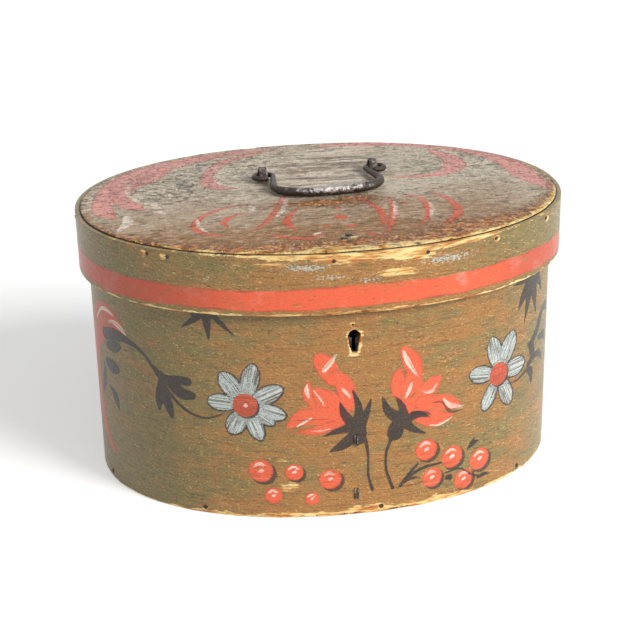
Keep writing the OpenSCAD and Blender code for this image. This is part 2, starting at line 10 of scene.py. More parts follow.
import bmesh
import bpy
import numpy as np
from bpy.props import FloatProperty, FloatVectorProperty, PointerProperty
from mathutils import Matrix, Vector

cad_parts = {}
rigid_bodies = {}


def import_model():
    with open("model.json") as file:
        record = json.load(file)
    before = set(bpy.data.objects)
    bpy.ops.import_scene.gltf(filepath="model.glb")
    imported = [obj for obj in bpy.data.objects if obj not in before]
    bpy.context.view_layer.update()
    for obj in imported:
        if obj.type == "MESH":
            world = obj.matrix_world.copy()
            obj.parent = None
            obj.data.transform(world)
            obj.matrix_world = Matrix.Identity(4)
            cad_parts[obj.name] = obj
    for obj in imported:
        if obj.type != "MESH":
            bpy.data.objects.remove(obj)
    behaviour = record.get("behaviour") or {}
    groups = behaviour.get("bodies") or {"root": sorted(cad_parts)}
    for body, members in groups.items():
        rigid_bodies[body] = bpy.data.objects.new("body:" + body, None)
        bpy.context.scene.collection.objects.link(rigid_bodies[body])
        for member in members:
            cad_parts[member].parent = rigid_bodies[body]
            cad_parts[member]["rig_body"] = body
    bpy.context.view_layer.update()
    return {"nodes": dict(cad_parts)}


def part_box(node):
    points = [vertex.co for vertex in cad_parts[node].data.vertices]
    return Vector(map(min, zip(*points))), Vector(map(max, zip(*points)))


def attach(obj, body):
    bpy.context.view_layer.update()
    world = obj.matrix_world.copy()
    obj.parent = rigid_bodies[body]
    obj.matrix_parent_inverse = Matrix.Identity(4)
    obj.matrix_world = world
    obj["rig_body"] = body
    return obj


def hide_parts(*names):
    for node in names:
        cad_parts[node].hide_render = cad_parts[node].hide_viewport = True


bl_info = {
    "name": "Oval bentwood box",
    "version": (1, 0, 0),
    "blender": (4, 5, 0),
    "location": "View3D > Sidebar > Bentwood box",
    "description": "Painted surfaces, ironwork and studio for the oval bentwood box",
    "category": "Object",
}

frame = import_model()


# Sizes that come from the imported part
MM = 0.001
RIM_LOW_CORNER, RIM_HIGH_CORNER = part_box("lid_rim")
BODY_HIGH_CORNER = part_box("body_band")[1]
BOARD_LOW_CORNER, BOARD_HIGH_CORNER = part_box("lid_board")


def linear(red, green, blue):
    """A colour from 0 to 255, as a monitor shows it, turned to scene-linear values."""
    values = np.array([red, green, blue]) / 255
    low = values / 12.92
    high = ((values + 0.055) / 1.055) ** 2.4
    return tuple(float(v) for v in np.where(values <= 0.04045, low, high))


def colour_property(name, description, red, green, blue):
    return FloatVectorProperty(name=name, description=description, subtype="COLOR", size=3,
                               min=0, max=1, default=linear(red, green, blue))


def length_property(name, description, metres):
    return FloatProperty(name=name, description=description, subtype="DISTANCE", unit="LENGTH",
                         min=0, precision=4, default=metres)


class BoxSizes(bpy.types.PropertyGroup):
    """Sizes of the oval, the bands and the boards."""
    lid_length: length_property("Lid length", "Length over the lid rim",
                                2 * RIM_HIGH_CORNER.x)
    lid_width: length_property("Lid width", "Width over the lid rim",
                               -2 * RIM_LOW_CORNER.y)
    oval_power: FloatProperty(name="Oval power", description="Fullness of the oval, 2 is an ellipse",
                              min=1.8, max=3, default=2.1)
    rim_thickness: length_property("Rim thickness", "Thickness of the lid rim", 0.004)
    wall_thickness: length_property("Wall thickness", "Thickness of the body band", 0.004)
    slip_gap: length_property("Slip gap", "Gap between the body and the rim over it", 0.0035)
    board_fit: length_property("Board fit", "Gap round the lid board", 0.00012)


class PaintColours(bpy.types.PropertyGroup):
    """Colours of the paint and the worn wood."""
    olive: colour_property("Olive", "Ground of the body and rim", 134, 118, 66)
    # Golden is partly the paint's own warmer tone and partly painted light where the lamp falls most on the
    # front
    golden: colour_property("Golden", "Warmer ground at the middle of the front", 172, 120, 60)
    # The lid ground's pale grey is partly the old paint's own colour and partly a painted sheen of its
    # varnish
    lid_ground: colour_property("Lid ground", "Greyed ground of the lid", 208, 195, 172)
    red: colour_property("Red", "Vermilion of flowers, berries and stripe", 244, 102, 62)
    pink: colour_property("Pink", "Faded red of the lid's scrolls", 238, 160, 150)
    dark: colour_property("Dark", "Grey-brown of leaves and stems", 34, 26, 23)
    white: colour_property("White", "Pale blue-white of the petals", 208, 218, 212)
    light: colour_property("Light", "Cream of the highlights", 244, 226, 206)
    orange_wood: colour_property("Orange wood", "Worn wood that has darkened", 190, 112, 44)
    cream_wood: colour_property("Cream wood", "Freshly chipped wood", 250, 210, 132)
    pale_wood: colour_property("Pale wood", "Palest splinters of worn wood", 253, 228, 164)
    inner_wood: colour_property("Inner wood", "Unpainted aged wood", 150, 108, 64)


class IronColours(bpy.types.PropertyGroup):
    """Colours of the ironwork, lacing and pegs."""
    iron: colour_property("Iron", "Brown-black forged iron", 48, 37, 30)
    rust: colour_property("Rust", "Rust in the hollows", 84, 50, 32)
    # Bright iron is polish from hands and, along the top of the grip, also a painted highlight
    bright: colour_property("Bright iron", "Iron polished by hands", 196, 190, 184)
    root: colour_property("Root", "Split root of the lacing", 150, 112, 68)
    peg: colour_property("Peg", "End grain of the pegs", 70, 50, 34)


class StudioSettings(bpy.types.PropertyGroup):
    """Levels of the studio's light."""
    world_level: FloatProperty(name="World level", description="Strength of the even light from all round",
                               min=0, max=3, default=0.27)
    key_strength: FloatProperty(name="Key strength", description="Strength of the soft light at the right",
                                min=0, max=20, default=3.05)
    fill_power: FloatProperty(name="Fill power", description="Power of the lamp above the front",
                              subtype="POWER", min=0, max=500, default=3)
    floor_lift: FloatProperty(name="Floor lift", description="Light added to the floor that is seen",
                              min=0, max=1, default=0.44)


# The oval

FRONT, BACK, TURN = 270, 90, 360
# The lap: half its angle, the angle of its easing, the skived thickness and the gap, as in the part
LAP_HALF, LAP_EASE, LAP_END, LAP_GAP = 10, 7.5, 1.2, 0.15


def signed_power(value, power):
    """The size of a value to a power, with the value's sign."""
    return np.sign(value) * np.abs(value) ** power


def smooth(u):
    """0 below 0 and 1 above 1, eased between as 3 u^2 - 2 u^3."""
    u = np.clip(u, 0, 1)
    return u * u * (3 - 2 * u)


def oval(angle, depth):
    """Point of the oval |x/a|^n + |y/b|^n = 1 at an angle in degrees, moved in along its normal."""
    sizes = bpy.context.scene.box_sizes
    a, b = sizes.lid_length / MM / 2, sizes.lid_width / MM / 2
    n = sizes.oval_power
    t = np.radians(angle)
    x = signed_power(np.cos(t), 2 / n)
    y = signed_power(np.sin(t), 2 / n)
    slope_x = signed_power(x, n - 1) / a
    slope_y = signed_power(y, n - 1) / b
    length = np.hypot(slope_x, slope_y)
    return np.stack([a * x - depth * slope_x / length, b * y - depth * slope_y / length], -1)


def lap_easing(t):
    """Depth under the lap's thin end, easing out to nothing beside the lap."""
    return (LAP_END + LAP_GAP) * (1 - smooth((t - BACK - LAP_HALF) / LAP_EASE))


def band_sink(t, thick):
    """Depth of a band's outer face: the layer above it and the gap at the lap, easing out to nothing."""
    share = (t - BACK + LAP_HALF) / (2 * LAP_HALF)
    under = thick - (thick - LAP_END) * share + LAP_GAP
    return np.where(t <= BACK + LAP_HALF, under, lap_easing(t))


def band_thickness(t, thick):
    """Thickness of a band, thinning in a straight line to its skived ends."""
    start = (t - BACK + LAP_HALF) / (2 * LAP_HALF)
    end = (t - BACK - TURN + LAP_HALF) / (2 * LAP_HALF)
    return np.where(t < BACK + LAP_HALF, LAP_END + (thick - LAP_END) * start,
                    np.where(t > BACK + TURN - LAP_HALF, thick - (thick - LAP_END) * end, thick))


def arc_table(depth):
    """Angles from the inner end of a band to its outer end, and the length s of the curve at each."""
    angles = np.linspace(BACK - LAP_HALF, BACK + TURN + LAP_HALF, 7601)
    steps = np.linalg.norm(np.diff(oval(angles, depth), axis=0), axis=1)
    lengths = np.concatenate([[0], np.cumsum(steps)])
    return angles, lengths - np.interp(FRONT, angles, lengths)


def waves(u, *terms):
    """Sum of sines of u, each given as (wavelength, height, phase)."""
    return sum(height * np.sin(2 * np.pi * u / wavelength + phase) for wavelength, height, phase in terms)


def front_share(s, middle, reach):
    """1 at the middle of a stretch of the front, falling away on both sides as exp(-(distance / reach)^2)."""
    return np.exp(-((s - middle) / reach) ** 2)


# Meshes

def solid(name, points, quads, others=()):
    """Mesh object from points in millimetres, an array of quads and a list of other faces, turned outwards.

    The enclosed volume is the sum of a . (b x c) / 6 over the triangles of a fan in each quad. Where it is
    negative, every face is turned round.
    """
    a, b, c, d = (points[quads[:, i]] for i in range(4))
    volume = np.einsum("ij,ij->", a, np.cross(b, c)) + np.einsum("ij,ij->", a, np.cross(c, d))
    faces = [quads] + [np.asarray(face)[None] for face in others]
    if volume < 0:
        faces = [face[:, ::-1] for face in faces]
    sizes = np.concatenate([np.full(len(face), face.shape[1]) for face in faces])
    ends = np.concatenate([face.ravel() for face in faces]).astype(np.int32)
    mesh = bpy.data.meshes.new(name)
    mesh.vertices.add(len(points))
    mesh.vertices.foreach_set("co", (points * MM).astype(np.float32).ravel())
    mesh.loops.add(len(ends))
    mesh.loops.foreach_set("vertex_index", ends)
    mesh.polygons.add(len(sizes))
    mesh.polygons.foreach_set("loop_start", np.concatenate([[0], np.cumsum(sizes)[:-1]]).astype(np.int32))
    mesh.update(calc_edges=True)
    mesh.validate()
    return new_object(name, mesh)


def new_object(name, mesh):
    """Smooth-shaded object of a mesh, in the scene."""
    mesh.shade_smooth()
    made = bpy.data.objects.new(name, mesh)
    bpy.context.scene.collection.objects.link(made)
    return made


def grid_quads(rows, columns, closed):
    """Indices of the quads of a grid of rows x columns, its columns joined end to end where closed."""
    i = np.arange(rows - 1)[:, None]
    j = np.arange(columns if closed else columns - 1)[None]
    k = (j + 1) % columns
    return np.stack([i * columns + j, (i + 1) * columns + j,
                     (i + 1) * columns + k, i * columns + k], -1).reshape(-1, 4)


def coordinates(made):
    """Points of a piece, in millimetres."""
    values = np.empty(len(made.data.vertices) * 3, np.float32)
    made.data.vertices.foreach_get("co", values)
    return values.reshape(-1, 3).astype(float) / MM


def set_floats(made, name, values):
    made.data.attributes.new(name, "FLOAT", "POINT").data.foreach_set("value", values.astype(np.float32))


def set_vectors(made, name, values):
    made.data.attributes.new(name, "FLOAT_VECTOR", "POINT").data.foreach_set(
        "vector", values.astype(np.float32).ravel())


# Brushwork

PAINTS = ("red", "dark", "white", "light", "under", "edge", "centre")
# A distance to a stroke that isn't near, and how far beyond a stroke distances are worked out
FAR, SEARCH = 30.0, 7
# How far beyond a stroke its bristle marks go, and the offset from one stroke's marks to the next one's
BRISTLE_REACH, BRISTLE_STEP = 1.5, 13
LEAST_RADIUS = 0.05


class Brushwork:
    """Signed distances from the points of a surface to the strokes of each paint, negative inside.

    A stroke is a list of (x, y, radius): circles of changing radius along a smooth curve.
    """

    def __init__(self, flat):
        self.flat = flat
        self.layers = {paint: np.full(len(flat), FAR) for paint in PAINTS}
        self.across = np.zeros(len(flat))
        self.inset = np.zeros(len(flat))
        self.count = 0

    def stroke(self, paint, rows):
        """Lays a stroke on the layer of its paint.

        The distance is that to each short piece of the curve, less the radius there. The offset across the
        stroke is kept for its bristle marks. Where red strokes overlap, the inset is the distance in from
        the edge of the last one, so that each petal keeps its outline.
        """
        curve = smooth_curve(rows)
        centre, radius = curve[:, :2], np.maximum(curve[:, 2], LEAST_RADIUS)
        reach = radius.max() + SEARCH
        near = np.flatnonzero(np.all((self.flat > centre.min(0) - reach)
                                     & (self.flat < centre.max(0) + reach), axis=1))
        if not len(near):
            return
        along = np.diff(centre, axis=0)
        length2 = np.maximum((along ** 2).sum(-1), 1e-9)
        off = self.flat[near][:, None] - centre[:-1]
        share = np.clip((off * along).sum(-1) / length2, 0, 1)
        off = off - share[..., None] * along
        distance = np.linalg.norm(off, axis=-1) - (radius[:-1] + share * np.diff(radius))
        best = distance.argmin(1)
        take = np.arange(len(best))
        off, distance, along = off[take, best], distance[take, best], along[best]
        side = (along[:, 0] * off[:, 1] - along[:, 1] * off[:, 0]) / np.sqrt(length2[best])
        layer = self.layers[paint]
        closer = distance < layer[near]
        layer[near[closer]] = distance[closer]
        self.count += 1
        if paint == "red":
            covered = distance < 0
            self.inset[near[covered]] = -distance[covered]
        marked = closer & (distance < BRISTLE_REACH)
        self.across[near[marked]] = side[marked] + BRISTLE_STEP * self.count

    def motif(self, groups, side=1):
        """Lays groups of strokes, each (paint, stroke, stroke, ...), turned left to right by a side of -1."""
        for paint, *strokes in groups:
            for rows in strokes:
                self.stroke(paint, [(side * x, y, radius) for x, y, radius in rows])

    def spot(self, paint, x, y, radius):
        """A round spot, laid as a very short stroke."""
        self.stroke(paint, [(x, y, radius), (x + 0.1, y, radius)])

    def petal(self, paint, base, tip, width):
        """A petal: narrow at its base, full at three fifths of its length, tapered to a short point."""
        base, tip = np.array(base, float), np.array(tip, float)
        places = np.array([0, 0.3, 0.6, 0.84, 1])[:, None]
        widths = width * np.array([0.5, 0.9, 1, 0.62, 0.1])
        self.stroke(paint, np.column_stack([base + places * (tip - base), widths]))

    def berry(self, x, y, r, shade=True):
        """A berry: a red disc on a dark one moved down and right, with a cream arc and a small spot."""
        if shade:
            self.spot("under", x + 0.24 * r, y - 0.24 * r, r * 1.04)
        self.spot("red", x, y, r)
        self.stroke("light", [(x - 0.55 * r, y + 0.34 * r, 0.4), (x - 0.1 * r, y + 0.64 * r, 0.12 * r),
                              (x + 0.46 * r, y + 0.42 * r, 0.4)])
        self.stroke("light", [(x - 0.12 * r, y - 0.06 * r, 0.08 * r), (x + 0.06 * r, y + 0.04 * r, 0.14 * r),
                              (x + 0.2 * r, y, 0.06 * r)])

    def daisy(self, x, y, r, petals):
        """A daisy: petals (angle, length, width) round a red disc with a dark edge below."""
        for angle, length, width in petals:
            c, s = math.cos(math.radians(angle)), math.sin(math.radians(angle))
            base, tip = (x + r * 0.8 * c, y + r * 0.8 * s), (x + length * c, y + length * s)
            self.petal("under", base, (tip[0] + 0.6 * c + 0.4, tip[1] + 0.6 * s - 0.4), width + 0.9)
            self.petal("white", base, tip, width)
        self.spot("dark", x + 0.14 * r, y - 0.14 * r, r * 1.02)
        self.spot("centre", x, y, r)


def smooth_curve(rows):
    """Curve through the rows of numbers, ten steps to a span.

    Each span is the cubic in u that joins its two rows, and whose slope at a row is half the way from the
    row before it to the row after it. One more row is added straight on beyond each end.
    """
    rows = np.array(rows, float)
    padded = np.vstack([2 * rows[0] - rows[1], rows, 2 * rows[-1] - rows[-2]])
    u = np.linspace(0, 1, 11)[:-1, None, None]
    p0, p1, p2, p3 = padded[:-3], padded[1:-2], padded[2:-1], padded[3:]
    curve = 0.5 * (2 * p1 + (p2 - p0) * u + (2 * p0 - 5 * p1 + 4 * p2 - p3) * u ** 2
                   + (3 * p1 - p0 - 3 * p2 + p3) * u ** 3)
    return np.vstack([curve.transpose(1, 0, 2).reshape(-1, 3), rows[-1:]])


def patches(flat, places):
    """Largest of several soft ovals, each (x, y, half length, half height, strength)."""
    value = np.zeros(len(flat))
    for x, y, rx, ry, strength in places:
        r2 = ((flat[:, 0] - x) / rx) ** 2 + ((flat[:, 1] - y) / ry) ** 2
        value = np.maximum(value, strength * np.exp(-r2))
    return value


# Motifs on the body: groups of strokes of one paint, each stroke a list of (x, y, radius)

# Height of the line from which the heights of the motifs are measured
MOTIF_LINE = 5.0
LEFT_SPRAY = [
    ("dark",
     [(-206, 122, 5), (-190, 126, 5), (-172, 125, 2.6), (-158, 119, 1.5), (-147, 107, 1.7), (-136, 92, 1.5),
      (-122, 80, 1.2), (-107, 76, 1), (-94, 80, 0.7)],
     [(-149, 111, 0.6), (-138, 103, 3), (-126, 94, 5), (-117, 93, 3.4)],
     [(-150, 112, 0.5), (-139, 105, 1.8), (-127, 104, 3.6), (-120, 104, 3.6)],
     [(-144, 100, 1.4), (-145, 88, 4), (-146, 77, 1.6)],
     [(-141, 96, 1.2), (-138, 84, 4.2), (-135, 73, 2)],
     [(-205, 98, 4), (-197, 97, 6), (-191, 97, 4)],
     [(-203, 113, 3), (-193, 115, 5), (-186, 117, 3)],
     [(-204, 78, 1), (-196, 72, 4), (-192, 62, 1)]),
]
LEFT_END = [
    ("red",
     [(-177, 130, 1.5), (-189, 137, 6), (-203, 140, 9), (-218, 131, 11), (-229, 112, 12), (-234, 88, 11),
      (-231, 62, 9), (-222, 40, 7), (-211, 26, 4.5), (-203, 22, 1.5)],
     [(-190, 130, 3), (-204, 125, 5), (-214, 112, 3)]),
    ("light",
     [(-176, 130, 0.8), (-183, 134, 2), (-192, 136, 1.4), (-199, 133, 0.4)],
     [(-190, 141, 0.5), (-200, 143, 1.4), (-212, 140, 1.2), (-224, 128, 0.4)],
     [(-243, 100, 0.4), (-244, 80, 1.2), (-238, 58, 0.4)]),
    ("dark", [(-222, 64, 0.6), (-214, 80, 3.6), (-212, 96, 0.6)]),
]
STAR_LEAVES = [
    ("dark",
     [(-103, 164, 4), (-112, 155, 2.6), (-123, 147, 0.3)],
     [(-103, 164, 4), (-102, 152, 3), (-101, 138, 0.3)],
     [(-101, 164, 3), (-91, 153, 1.8), (-80, 143, 0.3)],
     [(-105, 163, 4), (-111, 160, 3), (-113, 158, 1)],
     [(166, 158, 4), (155, 158, 3), (141, 157, 0.4)],
     [(166, 156, 6), (156, 146, 4.5), (148, 135, 0.4)],
     [(165, 155, 6), (162, 140, 4), (157, 122, 0.4)],
     [(169, 155, 6), (172, 140, 4), (176, 123, 0.4)],
     [(172, 157, 5), (180, 150, 3.5), (187, 138, 0.4)],
     [(172, 159, 4), (180, 158, 2.5), (190, 157, 0.4)]),
]
LEFT_BLOOM = [
    ("red",
     [(-21, 127, 4), (-16, 120, 8), (-11, 109, 5)],
     [(-9, 114, 3), (-2, 103, 7), (1, 88, 5)],
     [(-29, 107, 1.6), (-29, 98, 4.6), (-22, 88, 5)],
     [(-23, 100, 4), (-15, 91, 9), (-6, 79, 8)],
     [(-45, 72, 1.6), (-31, 80, 7.5), (-12, 80, 7)],
     [(-38, 68, 1), (-24, 68, 3.6), (-8, 73, 4)]),
    ("light",
     [(-17, 117, 1.6), (-12, 123, 1.6), (-8, 129, 0.4)],
     [(-30, 106, 0.5), (-30, 101, 1.5), (-29, 95, 0.5)],
     [(-25, 101, 0.4), (-20, 94, 0.7), (-17, 88, 0.3)],
     [(-38, 72, 0.4), (-33, 75, 0.8), (-27, 79, 0.3)],
     [(-5, 102, 0.4), (-1, 98, 1.2), (2, 93, 0.3)],
     [(-27, 68, 0.3), (-20, 68, 0.6), (-14, 69, 0.3)]),
    ("dark",
     [(8, 66, 6), (7, 62, 7), (8, 59, 5)],
     [(7, 68, 4), (-2, 79, 3.4), (-6, 91, 0.4)],
     [(8, 70, 4), (8, 86, 2.8), (3, 101, 0.4)],
     [(9, 68, 4), (14, 80, 2.6), (18, 92, 0.4)],
     [(5, 69, 4), (-7, 67, 2.6), (-19, 63, 0.4)],
     [(5, 62, 5), (-4, 55, 4), (-14, 50, 0.6)],
     [(13, 58, 1.6), (15, 44, 1), (15, 28, 1), (18, 15, 1.4)]),
]
RIGHT_BLOOM = [
    ("red",
     [(43, 127, 3.4), (49, 117, 7.4), (53, 106, 5)],
     [(39, 110, 3), (38, 100, 6), (43, 88, 6)],
     [(50, 104, 7), (49, 92, 9), (47, 79, 6)],
     [(71, 100, 2.4), (65, 95, 6.4), (54, 85, 7)],
     [(90, 73, 1.4), (78, 78, 6.4), (58, 81, 7)],
     [(83, 67, 1.4), (68, 68, 5.5), (54, 74, 5)],
     [(79, 63, 0.8), (66, 63, 3), (54, 68, 2.4)]),
    ("light",
     [(42, 127, 0.5), (46, 117, 1.8), (53, 105, 0.4)],
     [(49, 100, 0.4), (47, 94, 1.2), (44, 88, 0.3)],
     [(57, 91, 0.3), (65, 90, 1), (70, 96, 0.3)],
     [(75, 82, 0.4), (81, 75, 1.9), (94, 71, 0.3)],
     [(64, 62, 0.3), (72, 61, 0.8), (83, 65, 0.3)]),
    ("edge",
     [(62, 81, 0.3), (74, 79, 1), (81, 70, 1.2), (93, 69, 0.3)],
     [(49, 75, 1.4), (60, 73, 1.6), (66, 70, 0.3)]),
    ("dark",
     [(37, 65, 6), (36, 61, 6.4), (36, 59, 5)],
     [(42, 70, 5), (31, 79, 3.8), (26, 92, 0.4)],
     [(44, 70, 4), (41, 82, 2.6), (36, 91, 0.4)],
     [(44, 70, 4), (54, 73, 3), (64, 69, 0.4)],
     [(43, 68, 4), (51, 61, 2.6), (62, 55, 0.4)],
     [(33, 57, 1.6), (29, 45, 1.1), (29, 30, 1.1), (34, 14, 1.4)],
     [(40, 15, 1.6), (47, 24, 1.3), (54, 31, 1)],
     [(44, 20, 0.8), (58, 27, 1.4), (74, 28, 0.8)],
     [(40, 16, 0.8), (50, 20, 1.2), (58, 18, 0.3)],
     [(76, 18, 0.8), (90, 19, 0.9), (101, 11, 1), (111, 6, 0.8)],
     [(108, 6, 1.4), (114, 7, 1.8), (120, 6, 0.3)],
     [(96, 33, 0.3), (102, 37, 2), (109, 39, 0.3)],
     [(97, 34, 0.3), (101, 38, 1.7), (104, 42, 0.3)],
     [(79, 14, 2), (82, 14, 2), (82, 12, 1.4)]),
]
RIGHT_SPRAY = [
    ("dark",
     [(136, 78, 0.5), (148, 76, 0.9), (163, 80, 1.4)],
     [(163, 80, 1.6), (170, 76, 4), (172, 66, 1)],
     [(165, 84, 2), (172, 88, 4), (170, 97, 4.4), (164, 102, 1)],
     [(168, 100, 3), (180, 108, 4), (188, 119, 3.4), (200, 126, 1)],
     [(190, 122, 2), (202, 121, 4), (208, 114, 1)],
     [(172, 88, 1.6), (186, 86, 3.4), (196, 76, 0.5)],
     [(184, 100, 2), (196, 98, 4), (206, 90, 0.6)]),
    ("red",
     [(206, 138, 2), (222, 132, 8), (233, 112, 11), (237, 86, 11), (232, 60, 9), (222, 38, 6),
      (208, 24, 1.5)]),
    ("light", [(210, 143, 0.5), (226, 137, 1.4), (238, 120, 0.4)]),
]
BACK_SPRAYS = [
    ("red", [(300, 60, 1.5), (318, 86, 6), (352, 98, 9), (384, 86, 6), (396, 62, 1.5)]),
    ("light", [(320, 93, 0.4), (350, 105, 1.2), (380, 94, 0.4)]),
    ("dark",
     [(300, 58, 0.6), (324, 54, 2.2), (346, 66, 2.6), (352, 84, 0.6)],
     [(396, 60, 0.8), (410, 72, 3.4), (414, 92, 0.5)],
     [(340, 62, 1), (330, 48, 3.4), (326, 34, 0.5)]),
]
BACK_BERRIES = [(420, 60, 8), (430, 84, 7), (438, 44, 7)]
BERRIES = [(61, 42, 9), (83, 31, 9.4), (109, 22, 9.4), (66, 17, 8.2), (94, 9, 8.6), (-66, 35, 9.4),
           (-41, 34, 7), (-14, 27, 8.4)]
FADED_BERRIES = [(-57, 14, 7), (-28, 11, 5.6)]
LEFT_DAISY = (-76, 89, 9.4, [(124, 30, 7), (78, 34, 6.4), (28, 31, 6.6), (-16, 31, 6), (-68, 30, 5.8),
                             (-116, 25, 7), (176, 28, 6.4), (-36, 26, 4)])
RIGHT_DAISY = (127, 89, 9.6, [(104, 33, 6.8), (62, 34, 8), (0, 31, 7.6), (-64, 32, 6.8), (-120, 30, 6.2),
                              (166, 29, 6.8)])


def body_strokes(brush):
    """Everything painted on the body."""
    for groups in (LEFT_SPRAY, LEFT_END, STAR_LEAVES, LEFT_BLOOM, RIGHT_BLOOM, RIGHT_SPRAY):
        brush.motif(groups)
    for side in (1, -1):
        brush.motif(BACK_SPRAYS, side)
        for x, y, radius in BACK_BERRIES:
            brush.berry(side * x, y, radius)
    for berry in BERRIES:
        brush.berry(*berry)
    for berry in FADED_BERRIES:
        brush.berry(*berry, shade=False)
    brush.daisy(*LEFT_DAISY)
    brush.daisy(*RIGHT_DAISY)
    brush.spot("light", -75.5, 89, 1.5)


# Motifs on the lid: border scrolls, and plain comma strokes in two opposed fans with dots between them
LID_SCROLLS = [
    ("red",
     [(-20, 124, 2), (-60, 118, 5), (-100, 101, 9), (-135, 76, 12), (-158, 44, 10), (-169, 8, 7.5),
      (-168, -18, 8), (-161, -33, 2)],
     [(-118, 84, 8), (-134, 62, 12), (-150, 36, 8), (-153, 10, 8), (-147, -6, 8), (-138, -18, 2)]),
    ("light",
     [(-147, 47, 0.5), (-149, 24, 1), (-143, 6, 1), (-136, -3, 0.8), (-133, -2, 0.3)],
     [(-129, -5, 2.4), (-127, -12, 4), (-126, -16, 1)],
     [(-127, -24, 2), (-123, -30, 0.8)],
     [(-151, -33, 2), (-151, -48, 3.6), (-158, -64, 0.6)]),
    ("red",
     [(-32, 116, 1.5), (-50, 108, 4), (-68, 93, 5), (-78, 74, 5.4), (-83, 54, 6.4), (-83, 36, 7),
      (-75, 25, 5), (-64, 21, 1)]),
    ("light",
     [(-78, 46, 0.5), (-73, 33, 1.2), (-62, 25, 1), (-50, 25, 0.3)],
     [(-76, 62, 0.6), (-76, 56, 2), (-75, 51, 0.5)],
     [(-76, 80, 1.6), (-76, 74, 1.2)]),
    ("red",
     [(62, 27, 1.5), (84, 25, 3.6), (104, 29, 6), (118, 45, 9.4), (120, 66, 8), (113, 84, 5), (107, 96, 1.5)],
     [(18, 126, 3), (60, 124, 5), (104, 112, 7), (138, 92, 9), (158, 64, 9), (166, 36, 10), (168, 12, 10),
      (174, -10, 6), (180, -28, 2)]),
    ("light",
     [(138, 58, 1.2), (141, 50, 3), (139, 46, 1)],
     [(145, 62, 0.8), (147, 52, 2), (150, 45, 0.6)]),
]
LID_COMMAS = [
    ("red",
     [(-56, -20, 0.8), (-76, -26, 1.4), (-94, -42, 2.4), (-102, -64, 3.2), (-96, -82, 2.6), (-80, -89, 0.8)],
     [(-56, -38, 0.6), (-70, -44, 1.6), (-80, -58, 3), (-78, -72, 0.8)],
     [(-30, -8, 2), (-34, -26, 2.6), (-42, -48, 2.2), (-50, -66, 1.8), (-62, -84, 0.6)],
     [(-22, -38, 0.8), (-30, -52, 2.2), (-34, -70, 3), (-30, -88, 0.8)],
     [(-48, -92, 0.8), (-40, -100, 2.6), (-24, -106, 2.8), (-10, -98, 0.8)],
     [(26, -16, 1.2), (32, -32, 2.4), (38, -50, 3), (38, -70, 2.6), (34, -92, 0.8)],
     [(50, -24, 1.2), (50, -46, 2.6), (46, -68, 3), (40, -90, 2.2), (36, -106, 0.8)],
     [(62, -18, 0.8), (74, -30, 2.6), (76, -50, 3.2), (72, -72, 2.8), (62, -92, 0.8)],
     [(84, -14, 0.8), (94, -34, 2.6), (97, -56, 3.4), (93, -76, 4), (78, -96, 0.8)],
     [(20, -96, 0.6), (24, -106, 2), (34, -112, 0.8)]),
    ("light",
     [(-99, -50, 0.3), (-99, -66, 0.9), (-93, -80, 0.3)],
     [(-28, -14, 0.6), (-32, -34, 1.4), (-40, -54, 0.3)],
     [(53, -34, 0.3), (50, -56, 0.9), (45, -76, 0.3)],
     [(79, -40, 0.3), (78, -58, 0.9), (73, -76, 0.3)],
     [(-57, -24, 0.6), (-56, -32, 1.8), (-58, -40, 0.4)],
     [(-18, -100, 0.8), (-12, -94, 0.5)]),
]
LID_DOTS = [(8, -42, 3), (7, -64, 5), (-6, -80, 3), (60, -40, 2.6), (12, -84, 3.4)]


def lid_strokes(brush):
    """Everything painted on the lid."""
    brush.motif(LID_SCROLLS)
    brush.motif(LID_COMMAS)
    for x, y, radius in LID_DOTS:
        brush.spot("red", x, y, radius)


# Soft oval places, each (x, y, half length, half height, strength)
WORN_BODY = [(8, 126, 13, 4, 1.1), (60, 106, 34, 6, 0.7), (95, 97, 20, 6, 0.4), (-45, 50, 30, 10, 0.3),
             (-52, 44, 12, 4, 1), (-45, 22, 11, 6, 1.35), (20, 12, 60, 8, 0.5), (-20, 86, 40, 5, 0.4),
             (-70, 60, 30, 10, 0.3), (-110, 163, 20, 5, 0.6), (140, 30, 30, 14, 0.3)]
WORN_RIM = [(36, 192, 20, 4.5, 1.2), (5, 192, 26, 3, 0.8), (-35, 171, 10, 6, 0.7), (55, 203, 16, 5, 1.1),
            (-55, 202, 40, 4, 0.8)]
RIM_SCUFFS = [(-30, 200, 22, 4, 1), (76, 197, 26, 4, 1), (-12, 192, 14, 3, 0.8), (16, 188, 12, 3, 0.8),
              (-100, 190, 8, 3, 0.6)]
WORN_LID = [(-4, -133, 32, 10, 1.15), (52, -130, 46, 7, 0.9), (-62, -128, 14, 7, 1), (-98, -119, 8, 5, 0.9),
            (110, -113, 34, 5, 0.8), (5.4, -109, 10, 7, 0.85)]
BURNT_LID = [(0, -28, 44, 9, 0.55), (24, -22, 18, 10, 0.5), (108, -96, 40, 14, 0.5)]
WEATHERED_LID = [(15, 72, 52, 40, 1), (10, 40, 45, 30, 0.9), (-70, 20, 50, 40, 0.35), (40, 105, 60, 20, 0.6)]
WRINKLED_LID = [(-120, 40, 60, 50, 1), (-60, 90, 50, 40, 0.9), (130, 60, 60, 50, 0.6)]
# Where on the rim's front a peg stands in a chip
CHIPPED_PEGS = (-151, -134, -9.6, 59.5, 118, 180)
# Shifts of the grain along s or x, so that the rim, the lid and the body differ
RIM_GRAIN, LID_GRAIN = 700, 1500


# Shader nodes

def arithmetic(operation, turned=False):
    """A method that adds a Math node, its two values turned round for the reflected form."""
    def method(self, other):
        return self.math(operation, *((other, self) if turned else (self, other)))
    return method


